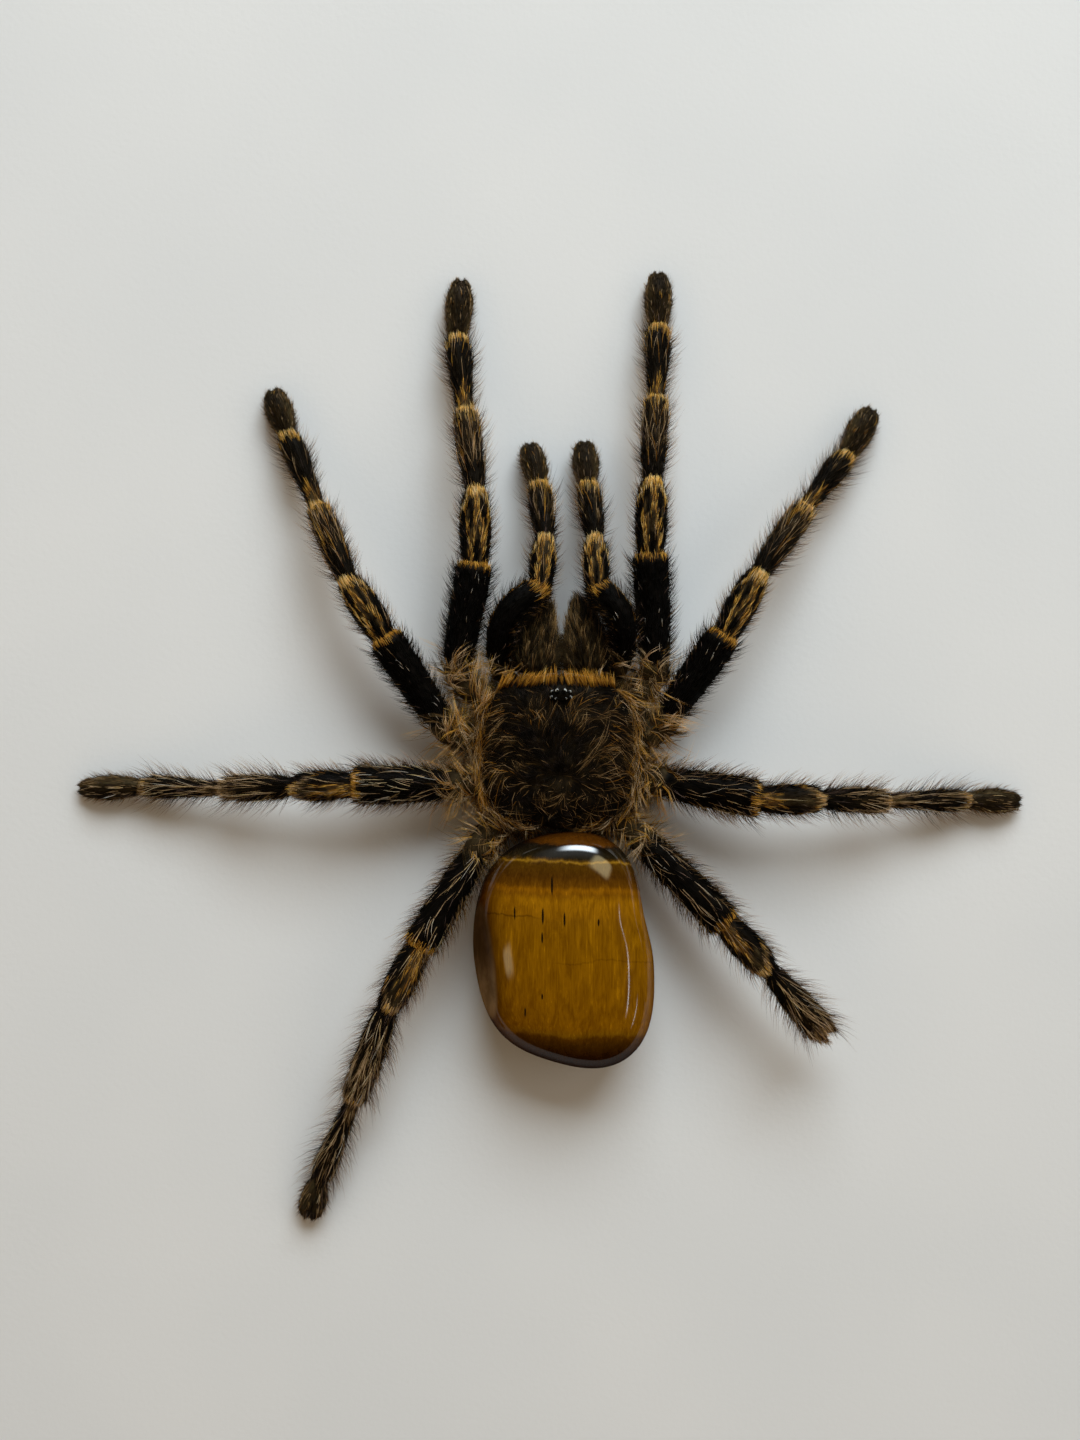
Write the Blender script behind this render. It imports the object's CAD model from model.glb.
"""The looks of a dried tarantula specimen whose abdomen is a tumbled tiger's-eye stone.

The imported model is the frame. Each of its nodes gets a finer skin, and all but the stone get a coat
of hairs, which are closed tapering meshes. The head points to +Y, the specimen's own right is +X and
+Z is up. Sizes and places are in millimetres, as in the part's source, and add_piece turns them into
metres.
"""

import math

import bpy
import numpy as np
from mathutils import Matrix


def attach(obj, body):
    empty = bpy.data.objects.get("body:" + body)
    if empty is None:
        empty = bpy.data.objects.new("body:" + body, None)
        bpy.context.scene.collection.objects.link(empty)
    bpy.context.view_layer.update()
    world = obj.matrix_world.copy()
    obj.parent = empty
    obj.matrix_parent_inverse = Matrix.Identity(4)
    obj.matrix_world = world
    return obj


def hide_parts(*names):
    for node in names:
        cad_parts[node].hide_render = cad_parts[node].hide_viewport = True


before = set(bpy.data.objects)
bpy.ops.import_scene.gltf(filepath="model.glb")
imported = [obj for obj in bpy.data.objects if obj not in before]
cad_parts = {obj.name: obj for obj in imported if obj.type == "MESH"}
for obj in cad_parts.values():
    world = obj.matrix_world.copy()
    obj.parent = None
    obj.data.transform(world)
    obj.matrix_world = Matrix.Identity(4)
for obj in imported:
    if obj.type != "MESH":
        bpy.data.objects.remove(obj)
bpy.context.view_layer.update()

MM = 0.001
UP = np.array([0.0, 0.0, 1.0])
BACK = np.array([0.0, -1.0, 0.0])

# ---------------------------------------------------------------------------------------------
# The specimen's own sizes, the same as in the part's source
# ---------------------------------------------------------------------------------------------

COXA, TROCHANTER, FEMUR, PATELLA, TIBIA, METATARSUS, TARSUS = range(7)
LEG_SEGMENTS = (COXA, TROCHANTER, FEMUR, PATELLA, TIBIA, METATARSUS, TARSUS)
PALP_SEGMENTS = (COXA, TROCHANTER, FEMUR, PATELLA, TIBIA, TARSUS)

# Where the joints lie: the coxa's root, trochanter, femur's start, knee, patella's end, tibia's
# end, metatarsus's end and tip. The fourth right leg is broken off at its tibia.
LEG_JOINTS = {
    "leg_1_left": (
        (-4.4, 3.8, 4.6), (-13.8, 10.0, 6.0), (-14.5, 13.2, 6.8), (-11.6, 28.6, 9.6),
        (-11.6, 39.9, 9.8), (-13.3, 52.7, 6.4), (-14.7, 64.8, 3.1), (-14.1, 73.8, 1.7),
    ),
    "leg_1_right": (
        (7.0, 3.8, 4.6), (16.1, 10.0, 6.0), (16.5, 13.2, 6.8), (15.6, 30.0, 9.6),
        (15.9, 41.3, 9.8), (16.7, 54.6, 6.4), (17.2, 66.4, 3.1), (17.3, 74.9, 1.7),
    ),
    "leg_2_left": (
        (-5.2, 0.1, 4.6), (-15.3, 1.7, 6.0), (-17.5, 4.4, 6.8), (-25.8, 17.0, 9.6),
        (-31.5, 26.0, 9.8), (-36.5, 37.7, 6.4), (-41.6, 49.4, 3.0), (-44.0, 56.3, 1.7),
    ),
    "leg_2_right": (
        (7.8, 0.1, 4.6), (17.3, 2.5, 6.0), (18.8, 5.3, 6.8), (27.2, 17.4, 9.6),
        (32.5, 26.9, 9.8), (40.2, 37.5, 6.4), (47.1, 46.1, 3.0), (51.2, 53.3, 1.7),
    ),
    "leg_3_left": (
        (-5.2, -4.6, 4.6), (-13.8, -6.0, 5.7), (-16.3, -6.1, 6.4), (-30.8, -6.0, 9.0),
        (-40.1, -6.3, 9.0), (-51.7, -6.7, 5.8), (-64.7, -6.5, 2.8), (-74.6, -6.8, 1.5),
    ),
    "leg_3_right": (
        (7.8, -4.6, 4.6), (16.7, -5.4, 5.7), (18.6, -5.8, 6.4), (32.7, -8.2, 9.4),
        (42.3, -8.2, 9.8), (53.0, -8.6, 6.6), (66.3, -8.6, 2.9), (74.6, -8.9, 1.5),
    ),
    "leg_4_left": (
        (-4.0, -8.5, 4.6), (-10.3, -14.5, 5.7), (-11.9, -17.3, 6.4), (-20.5, -31.4, 9.4),
        (-25.3, -40.8, 9.6), (-30.9, -55.7, 6.2), (-36.6, -68.9, 2.8), (-38.3, -74.9, 1.7),
    ),
    "leg_4_right": (
        (6.6, -8.5, 4.6), (13.6, -13.8, 5.7), (15.4, -15.5, 6.4), (27.5, -27.7, 9.8),
        (33.9, -34.6, 11.0), (42.5, -44.5, 10.2),
    ),
}  # fmt: skip
BROKEN_LEG = "leg_4_right"
# The same for the pedipalps, which have no metatarsus.
PALP_JOINTS = {
    "pedipalp_left": (
        (-4.2, 8.8, 4.4), (-7.2, 10.9, 5.0), (-8.2, 13.5, 7.4), (-1.5, 24.5, 10.0),
        (-0.7, 32.5, 8.3), (-1.7, 41.2, 4.6), (-3.2, 47.7, 1.7),
    ),
    "pedipalp_right": (
        (6.8, 8.8, 4.4), (9.9, 10.9, 5.0), (11.4, 13.5, 7.4), (7.3, 24.5, 10.0),
        (7.0, 32.5, 8.3), (6.0, 41.2, 4.6), (5.5, 48.0, 1.7),
    ),
}  # fmt: skip
# How far the middle of a pedipalp's femur bows out of the straight line between its ends.
PALP_BOW = {"pedipalp_left": (-1.9, 1.2, 2.4), "pedipalp_right": (1.7, 1.0, 2.4)}

# Radius of the dense fur at each segment's thickest, in the order of the segments.
LEG_FUR = {
    "1": (2.2, 2.5, 2.75, 2.40, 1.95, 1.85, 2.10),
    "2": (2.3, 2.5, 2.70, 2.35, 1.95, 1.75, 2.10),
    "3": (2.4, 2.7, 2.95, 2.30, 1.85, 1.55, 1.85),
    "4": (2.1, 2.4, 2.70, 2.35, 2.15, 1.60, 2.00),
}
PALP_FUR = (1.6, 1.75, 2.15, 2.00, 1.80, 1.98)

# How a segment swells between its joints: (share of its length, share of its fur's radius).
SWELL = {
    COXA: ((0.0, 0.66), (0.4, 0.9), (0.75, 1.05)),
    TROCHANTER: ((0.0, 0.96), (0.5, 1.0)),
    FEMUR: ((0.05, 0.84), (0.30, 0.95), (0.65, 1.02), (0.95, 1.03)),
    PATELLA: ((0.06, 0.90), (0.34, 1.05), (0.62, 1.04), (0.85, 0.92), (0.97, 0.74)),
    TIBIA: ((0.05, 0.84), (0.32, 1.0), (0.68, 1.04), (0.94, 0.94)),
    METATARSUS: ((0.05, 0.70), (0.30, 0.84), (0.68, 1.12), (0.84, 1.10), (0.97, 0.84)),
    TARSUS: ((0.05, 0.76), (0.30, 1.0), (0.55, 1.12), (0.78, 0.95), (0.92, 0.62), (1.0, 0.26)),
}
TORN_TIBIA = ((0.05, 0.68), (0.35, 0.92), (0.70, 1.08), (0.93, 1.0), (1.0, 0.72))

SKIN_SHARE = 0.93  # of the fur's radius: the hairs fill the rest
RING_STEP = 0.6  # between a limb's rings
LIMB_COLUMNS = 24
JOINT_PINCH = 0.14  # how much a limb narrows at a joint, over this length
JOINT_PINCH_LENGTH = 0.5

# How far the golden pattern on each limb is turned about it, towards the limb's own side.
PATTERN_ROLL = {
    "pedipalp_left": 0.10, "pedipalp_right": -0.08,
    "leg_1_left": 0.18, "leg_1_right": 0.10, "leg_2_left": -0.12, "leg_2_right": 0.22,
    "leg_3_left": -0.50, "leg_3_right": 0.15, "leg_4_left": -0.32, "leg_4_right": 0.36,
}  # fmt: skip
# How far the golden stripes on a patella reach from its start. On most it is their whole length.
STRIPES_END = {"leg_3_right": 3.6}
# Without a pale cuff on the metatarsus.
UNCUFFED = ("leg_4_left",)

CARAPACE_CENTRE = (1.3, -0.9)
CARAPACE_HALF = (12.3, 11.9)
CARAPACE_MARGIN_Z = 8.3
CARAPACE_RISE = 4.0
CARAPACE_FLOOR = 0.5
CARAPACE_SQUARENESS = 2.9
FOVEA = (1.4, -4.6)
FOVEA_DEPTH = 0.9
GROOVE_DEPTH = 0.3
HEAD_RISE = 0.7
CARAPACE_SKIN = 0.985  # of the coat's size

STERNUM_CENTRE = (1.3, -0.9)
STERNUM_HALF = (5.7, 9.0)
STERNUM_Z = 5.8
STERNUM_HALF_HEIGHT = 3.2
STERNUM_SQUARENESS = 2.3

EYE_MOUND = (1.7, 7.9, 12.1)
EYE_MOUND_HALF = (1.9, 1.1, 0.9)
EYES = (
    (-1.3, 0.55, 0.30), (-0.5, 0.65, 0.42), (0.5, 0.65, 0.42), (1.3, 0.55, 0.30),
    (-1.42, -0.3, 0.32), (-0.75, -0.5, 0.22), (0.75, -0.5, 0.22), (1.42, -0.3, 0.32),
)  # fmt: skip

CHELICERA_MIDLINE = 1.85
CHELICERA_ROUTE = (
    ((-2.30, 11.6, 7.3), 2.9), ((-2.25, 12.8, 7.4), 3.25), ((-2.15, 15.4, 7.4), 3.35),
    ((-1.80, 18.0, 6.9), 2.95), ((-1.35, 20.4, 6.1), 2.2), ((-0.90, 22.2, 5.3), 1.35),
    ((-0.75, 22.9, 4.9), 0.6),
)  # fmt: skip
FANG_ROUTE = (
    ((-1.20, 20.6, 5.2), 0.95), ((-1.20, 21.5, 3.4), 0.85), ((-1.15, 20.9, 2.0), 0.70),
    ((-1.05, 19.3, 1.3), 0.50), ((-0.95, 17.3, 1.2), 0.28), ((-0.90, 15.9, 1.5), 0.10),
)  # fmt: skip

STONE_CENTRE = (2.2, -31.7)
STONE_HALF_HEIGHT = 8.0
STONE_BELLY = 8.5
STONE_ROUNDNESS = 2.7
STONE_LEAN = 0.5
STONE_OUTLINE = (
    (2.8, -13.4), (8.6, -14.3), (12.3, -17.6), (13.9, -22.6), (14.7, -26.5), (15.7, -30.8),
    (16.2, -36.5), (15.8, -41.8), (15.0, -44.9), (13.1, -47.3), (10.8, -49.3), (7.1, -50.2),
    (1.6, -49.3), (-2.2, -48.3), (-5.3, -46.7), (-8.3, -44.0), (-10.3, -40.3), (-11.6, -35.3),
    (-11.8, -27.6), (-10.9, -22.5), (-9.4, -19.3), (-6.7, -16.6), (-2.6, -14.2),
)  # fmt: skip
STONE_WAVES = 6
# The steep facet on its left: its outward way and its distance from the origin along it.
STONE_FACET = (-0.915, -0.096, 0.390)
STONE_FACET_AT = 16.78

# ---------------------------------------------------------------------------------------------
# The hairs' palette: where each colour lies from 0 to 1, and its colour at root and at tip
# ---------------------------------------------------------------------------------------------

LIT_BRISTLE, DARK_BRISTLE, VELVET = 0.0, 0.06, 0.14
BLACK_BROWN, DARK_BROWN, OLIVE, BROWN = 0.24, 0.34, 0.44, 0.54
TAN, PALE, UMBER, ORANGE, GOLD, STRAW, WHITE = 0.64, 0.72, 0.79, 0.86, 0.92, 0.97, 1.0
PALETTE = (
    (LIT_BRISTLE, (0.012, 0.008, 0.007), (0.50, 0.33, 0.25)),
    (DARK_BRISTLE, (0.008, 0.006, 0.005), (0.24, 0.16, 0.125)),
    (VELVET, (0.0006, 0.0005, 0.0004), (0.0022, 0.0020, 0.0016)),
    (BLACK_BROWN, (0.004, 0.0027, 0.0013), (0.018, 0.0115, 0.005)),
    (DARK_BROWN, (0.014, 0.0083, 0.0030), (0.060, 0.036, 0.0135)),
    (OLIVE, (0.030, 0.021, 0.0085), (0.110, 0.080, 0.034)),
    (BROWN, (0.060, 0.030, 0.008), (0.230, 0.122, 0.036)),
    (TAN, (0.200, 0.113, 0.040), (0.600, 0.372, 0.160)),
    (PALE, (0.420, 0.275, 0.135), (0.960, 0.690, 0.410)),
    (UMBER, (0.072, 0.029, 0.004), (0.200, 0.082, 0.012)),
    (ORANGE, (0.360, 0.148, 0.017), (0.760, 0.345, 0.045)),
    (GOLD, (0.700, 0.365, 0.042), (0.990, 0.580, 0.100)),
    (STRAW, (0.900, 0.610, 0.230), (0.990, 0.765, 0.360)),
    (WHITE, (0.500, 0.480, 0.440), (0.960, 0.940, 0.880)),
)
TINT_WIDTH = 0.003  # how much of the palette one side of a hair takes


# ---------------------------------------------------------------------------------------------
# Shader maths
# ---------------------------------------------------------------------------------------------


class Value:
    """One output of a node. Its operators add the Math nodes that work them out."""

    def __init__(self, nodes, socket):
        self.nodes = nodes
        self.socket = socket

    def __add__(self, other):
        return self.nodes.maths("ADD", self, other)

    def __sub__(self, other):
        return self.nodes.maths("SUBTRACT", self, other)

    def __rsub__(self, other):
        return self.nodes.maths("SUBTRACT", other, self)

    def __mul__(self, other):
        return self.nodes.maths("MULTIPLY", self, other)

    def __truediv__(self, other):
        return self.nodes.maths("DIVIDE", self, other)

    def __pow__(self, other):
        return self.nodes.maths("POWER", self, other)


class Nodes:
    """Builds the node tree of a material, a lamp or the world."""

    def __init__(self, owner):
        owner.use_nodes = True
        self.tree = owner.node_tree

    def node(self, kind, settings=None, inputs=None, output=0):
        """Adds a node: its settings first, then the values or links of its sockets."""
        made = self.tree.nodes.new(kind)
        for name, setting in (settings or {}).items():
            setattr(made, name, setting)
        for name, given in (inputs or {}).items():
            self.feed(made.inputs[name], given)
        return Value(self, made.outputs[output])

    def feed(self, socket, given):
        if isinstance(given, Value):
            self.tree.links.new(given.socket, socket)
        else:
            socket.default_value = given

    def maths(self, operation, *given):
        return self.node("ShaderNodeMath", {"operation": operation}, dict(enumerate(given)))

    def between(self, value, low, high):
        """0 where value is low, 1 where it is high, with soft ends."""
        settings = {"interpolation_type": "SMOOTHSTEP"}
        inputs = {"Value": value, "From Min": low, "From Max": high}
        return self.node("ShaderNodeMapRange", settings, inputs)

    def parts_of(self, vector):
        split = self.node("ShaderNodeSeparateXYZ", None, {0: vector}).socket.node
        return [Value(self, output) for output in split.outputs]

    def ramp(self, value, stops):
        """The colour at a value, between stops of a place and a colour each."""
        made = self.node("ShaderNodeValToRGB", None, {"Fac": value})
        elements = made.socket.node.color_ramp.elements
        while len(elements) < len(stops):
            elements.new(1.0)
        for element, (place, colour) in zip(elements, stops):
            element.position = place
            element.color = (*colour, 1.0)
        return made


class Finish(Nodes):
    """A material that is built node by node."""

    def __init__(self, name):
        self.material = bpy.data.materials.new(name)
        super().__init__(self.material)
        self.shader = self.tree.nodes["Principled BSDF"]

    def blend(self, factor, first, second, way="MIX"):
        """Mixes two colours."""
        settings = {"data_type": "RGBA", "blend_type": way}
        colours = [(*c, 1.0) if isinstance(c, tuple) else c for c in (first, second)]
        return self.node("ShaderNodeMix", settings, {0: factor, 6: colours[0], 7: colours[1]}, 2)

    def times(self, colour, shade):
        """A colour multiplied by another."""
        return self.blend(1.0, colour, shade, "MULTIPLY")

    def noise(self, place, scale, detail=2.0, roughness=0.5, distortion=0.0):
        inputs = {
            "Vector": place, "Scale": scale, "Detail": detail,
            "Roughness": roughness, "Distortion": distortion,
        }  # fmt: skip
        return self.node("ShaderNodeTexNoise", None, inputs)

    def object_place(self, stretch=(1, 1, 1)):
        """Object coordinates in millimetres, each multiplied by its stretch."""
        place = self.node("ShaderNodeTexCoord", output="Object")
        scale = tuple(s / MM for s in stretch)
        return self.node("ShaderNodeMapping", None, {"Vector": place, "Scale": scale})

    def map_place(self, name):
        return self.node("ShaderNodeUVMap", {"uv_map": name})

    def point_tint(self):
        """The tint that add_piece gave each point."""
        return self.node("ShaderNodeAttribute", {"attribute_name": "tint"}, output="Fac")

    def bump(self, height, distance):
        return self.node("ShaderNodeBump", None, {"Height": height, "Distance": distance * MM})

    def set(self, **given):
        """Sets the shader's sockets: base_color=... is its Base Color."""
        for name, value in given.items():
            socket = self.shader.inputs[name.replace("_", " ").title().replace("Ior", "IOR")]
            self.feed(socket, value)
        return self.material


def palette_colours(finish, tint):
    """The palette's colours at the hairs' roots and at their tips."""
    return [finish.ramp(tint, [(stop[0], stop[end]) for stop in PALETTE]) for end in (1, 2)]


def hair_finish():
    """Each hair's colour is its palette place, and it changes from root to tip."""
    finish = Finish("hairs")
    tint, along, _ = finish.parts_of(finish.map_place("Hair"))
    root, tip = palette_colours(finish, tint)
    colour = finish.blend(finish.between(along, 0.10, 0.90), root, tip)
    return finish.set(base_color=colour, roughness=0.5, specular_ior_level=0.05)


def hide_finish(name):
    """The skin under the hairs: the same colours, darker, streaked lengthwise like matted fur."""
    finish = Finish(name)
    streaks = finish.noise(finish.map_place("Lie"), 1.0, 3.0, 0.6)
    root, tip = palette_colours(finish, finish.point_tint() + (streaks - 0.5) * 0.12)
    lightness = finish.between(streaks, 0.25, 0.75) * 0.30
    return finish.set(
        base_color=finish.blend(lightness, root, tip),
        roughness=0.6,
        specular_ior_level=0.05,
        normal=finish.bump(streaks, 0.12),
    )


def horn_finish():
    """The fangs' polished horn: dark, with a slightly lighter mottle and fine scratches."""
    finish = Finish("fang_horn")
    mottle = finish.between(finish.noise(finish.object_place(), 1.3, 3.0), 0.4, 0.75)
    scratches = finish.noise(finish.object_place((4, 0.6, 4)), 3.0, 2.0)
    return finish.set(
        base_color=finish.blend(mottle, (0.006, 0.003, 0.002), (0.03, 0.010, 0.004)),
        roughness=scratches * 0.12 + 0.12,
        coat_weight=0.5,
        coat_roughness=0.05,
        normal=finish.bump(scratches, 0.01),
    )


def eye_finish():
    """Glossy black lenses, each with a silvery crescent where the light shines back out of it."""
    finish = Finish("eye_gloss")
    mottle = finish.noise(finish.object_place(), 4.0, 3.0)
    silver = finish.blend(mottle, (0.20, 0.21, 0.19), (0.75, 0.77, 0.70))
    shine = finish.between(finish.point_tint(), 0.4, 0.8)
    return finish.set(
        base_color=finish.blend(shine, (0.003, 0.003, 0.003), silver),
        roughness=0.10,
        coat_weight=1.0,
        coat_roughness=0.08,
        normal=finish.bump(mottle, 0.004),
    )


# ---------------------------------------------------------------------------------------------
# Shapes from arrays
# ---------------------------------------------------------------------------------------------


def unit(vectors):
    return vectors / np.maximum(np.linalg.norm(vectors, axis=-1, keepdims=True), 1e-12)


def ease(value, low, high):
    """0 at low and beyond it, 1 at high and beyond it, smooth between: 3s^2 - 2s^3."""
    share = np.clip((value - low) / (high - low), 0.0, 1.0)
    return share * share * (3 - 2 * share)


def bell(value, width):
    return np.exp(-((value / width) ** 2))


def settle(values, passes=1):
    """Each value drawn towards its neighbours' mean. The two ends stay."""
    values = values.copy()
    for _ in range(passes):
        values[1:-1] = (values[:-2] + 2 * values[1:-1] + values[2:]) / 4
    return values


def ripples(points, wavelength, seed, count=14):
    """Smooth noise with a spread of about 1: a sum of plane sine waves in random directions."""
    rng = np.random.default_rng(seed)
    ways = unit(rng.normal(size=(count, 3)))
    turns = 2 * math.pi / wavelength * rng.uniform(0.6, 1.7, count)
    phases = rng.uniform(0, 2 * math.pi, count)
    waves = np.sin(points @ (ways * turns[:, None]).T + phases)
    return waves.sum(axis=1) * math.sqrt(2.0 / count)


def full_turn(columns):
    """The columns' angles, evenly spread from 0."""
    return 2 * math.pi * np.arange(columns) / columns


def circles(angles, first, second):
    """A unit circle for each pair of ways, at these angles from the first towards the second."""
    angles = angles[None, :, None]
    return np.cos(angles) * first[:, None] + np.sin(angles) * second[:, None]


def add_piece(name, points, faces, finish, replaced=None, maps=None, tint=None):
    """Makes a piece from points in millimetres and arrays of triangles and quads. maps gives each
    UV map's places for every corner of every face, in order. The piece rides on the one body."""
    mesh = bpy.data.meshes.new(name)
    corners = np.concatenate([part.ravel() for part in faces]).astype(np.int32)
    sides = np.concatenate([np.full(len(part), part.shape[1]) for part in faces])
    starts = np.concatenate([[0], np.cumsum(sides)[:-1]]).astype(np.int32)
    mesh.vertices.add(len(points))
    mesh.vertices.foreach_set("co", (points * MM).astype(np.float32).ravel())
    mesh.loops.add(len(corners))
    mesh.loops.foreach_set("vertex_index", corners)
    mesh.polygons.add(len(sides))
    mesh.polygons.foreach_set("loop_start", starts)
    mesh.update(calc_edges=True)
    for map_name, places in (maps or {}).items():
        layer = mesh.uv_layers.new(name=map_name)
        layer.data.foreach_set("uv", places.astype(np.float32).ravel())
    if tint is not None:
        layer = mesh.attributes.new("tint", "FLOAT", "POINT")
        layer.data.foreach_set("value", np.broadcast_to(tint, len(points)).astype(np.float32))
    mesh.shade_smooth()
    mesh.materials.append(finish)
    piece = bpy.data.objects.new(name, mesh)
    bpy.context.scene.collection.objects.link(piece)
    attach(piece, "root")
    if replaced:
        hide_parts(replaced)


class Skin:
    """A closed surface given as rings of points. Seen from outside, the columns turn clockwise
    about the way that the rows run, so that columns x rows points outwards."""

    def __init__(self, grid, poles=None):
        self.grid = grid
        self.poles = poles or (grid[0].mean(axis=0), grid[-1].mean(axis=0))

    def points(self):
        return np.concatenate([self.grid.reshape(-1, 3), np.array(self.poles)])

    def faces(self):
        """Quads between the rings and a fan of triangles from each pole."""
        rows, columns = self.grid.shape[:2]
        index = np.arange(rows * columns).reshape(rows, columns)
        after = np.roll(index, -1, axis=1)
        quads = np.stack([index[:-1], after[:-1], after[1:], index[1:]], axis=-1).reshape(-1, 4)
        first, last = rows * columns, rows * columns + 1
        start = np.stack([np.full(columns, first), after[0], index[0]], axis=-1)
        end = np.stack([np.full(columns, last), index[-1], after[-1]], axis=-1)
        return [quads, start, end]

    def lie_map(self, across, along):
        """UV places that follow the rows: u runs round the skin, v along it, in these scales."""
        rows, columns = self.grid.shape[:2]

        def corners(*pairs):
            placed = [np.stack(np.broadcast_arrays(*pair), -1) for pair in pairs]
            return np.stack(placed, -2).reshape(-1, 2)

        row, column = np.mgrid[0 : rows - 1, 0:columns]
        quads = corners((column, row), (column + 1, row), (column + 1, row + 1), (column, row + 1))
        turn = np.arange(columns)
        start = corners((turn + 0.5, -1), (turn + 1, 0), (turn, 0))
        end = corners((turn + 0.5, rows), (turn, rows - 1), (turn + 1, rows - 1))
        return np.concatenate([quads, start, end]) * (across / columns, along / rows)

    def piece(self, name, finish, slot, replaced, lie=None, tint=None):
        """Adds the skin as a piece. lie is how often its streaks repeat round it and along it."""
        maps = {"Lie": self.lie_map(*lie)} if lie else {}
        add_piece(name, self.points(), self.faces(), finish, replaced, maps, tint)

    def rows_between(self, low, high):
        """A weight of 1 for the cells in this share of the rows, and of 0 for the others."""
        share = np.arange(len(self.grid) - 1)[:, None] / len(self.grid)
        return ((share >= low) & (share < high)).astype(float)

    def grow(self, count, rng, weight=1.0):
        """Random places spread evenly over the skin, or by a weight for each of its cells."""
        corner = np.concatenate([self.grid, self.grid[:, :1]], axis=1)
        a, b, c, d = corner[:-1, :-1], corner[1:, :-1], corner[1:, 1:], corner[:-1, 1:]
        cells = np.linalg.norm(np.cross(c - a, d - b), axis=-1) * weight
        chances = np.cumsum(cells.ravel())
        picked = np.searchsorted(chances / chances[-1], rng.random(count))
        row, column = np.unravel_index(np.minimum(picked, cells.size - 1), cells.shape)
        down, over = rng.random(count), rng.random(count)
        a, b, c, d = (part[row, column] for part in (a, b, c, d))
        u, v = over[:, None], down[:, None]
        point = (1 - v) * ((1 - u) * a + u * d) + v * ((1 - u) * b + u * c)
        along = unit((1 - u) * (b - a) + u * (c - d))
        around = unit((1 - v) * (d - a) + v * (c - b))
        normal = unit(np.cross(around, along))
        return Places(point, normal, along, np.cross(along, normal), row + down, column + over)


class Places:
    """Where hairs grow: points on a skin with the outward normal, the ways along and across the
    rows, and the rows and columns as numbers with fractions."""

    def __init__(self, point, normal, along, around, row, column):
        self.point = point
        self.normal = normal
        self.along = along
        self.around = around
        self.row = row
        self.column = column

    def __len__(self):
        return len(self.point)

    def only(self, kept):
        """The places that are picked by true and false, or by their numbers."""
        parts = (self.point, self.normal, self.along, self.around, self.row, self.column)
        return Places(*(part[kept] for part in parts))

    def locks(self, hairs, rng, spread):
        """Each place repeated for so many hairs of one lock, their roots spread over the skin."""
        lock = self.only(np.repeat(np.arange(len(self)), hairs))
        aside = spread * rng.normal(size=(len(lock), 2))
        lock.point = lock.point + aside[:, :1] * lock.along + aside[:, 1:] * lock.around
        return lock

    def lay(self, lift, swing, level=None):
        """The way a hair points: along the rows or a given level way, swung sideways by an angle
        and lifted off the skin by so many degrees."""
        if level is None:
            level = self.along
        else:
            level = unit(level - (level * self.normal).sum(1, keepdims=True) * self.normal)
        lift = np.radians(lift)[:, None]
        swing = swing[:, None]
        flat = np.cos(swing) * level + np.sin(swing) * np.cross(level, self.normal)
        return np.cos(lift) * flat + np.sin(lift) * self.normal


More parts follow.
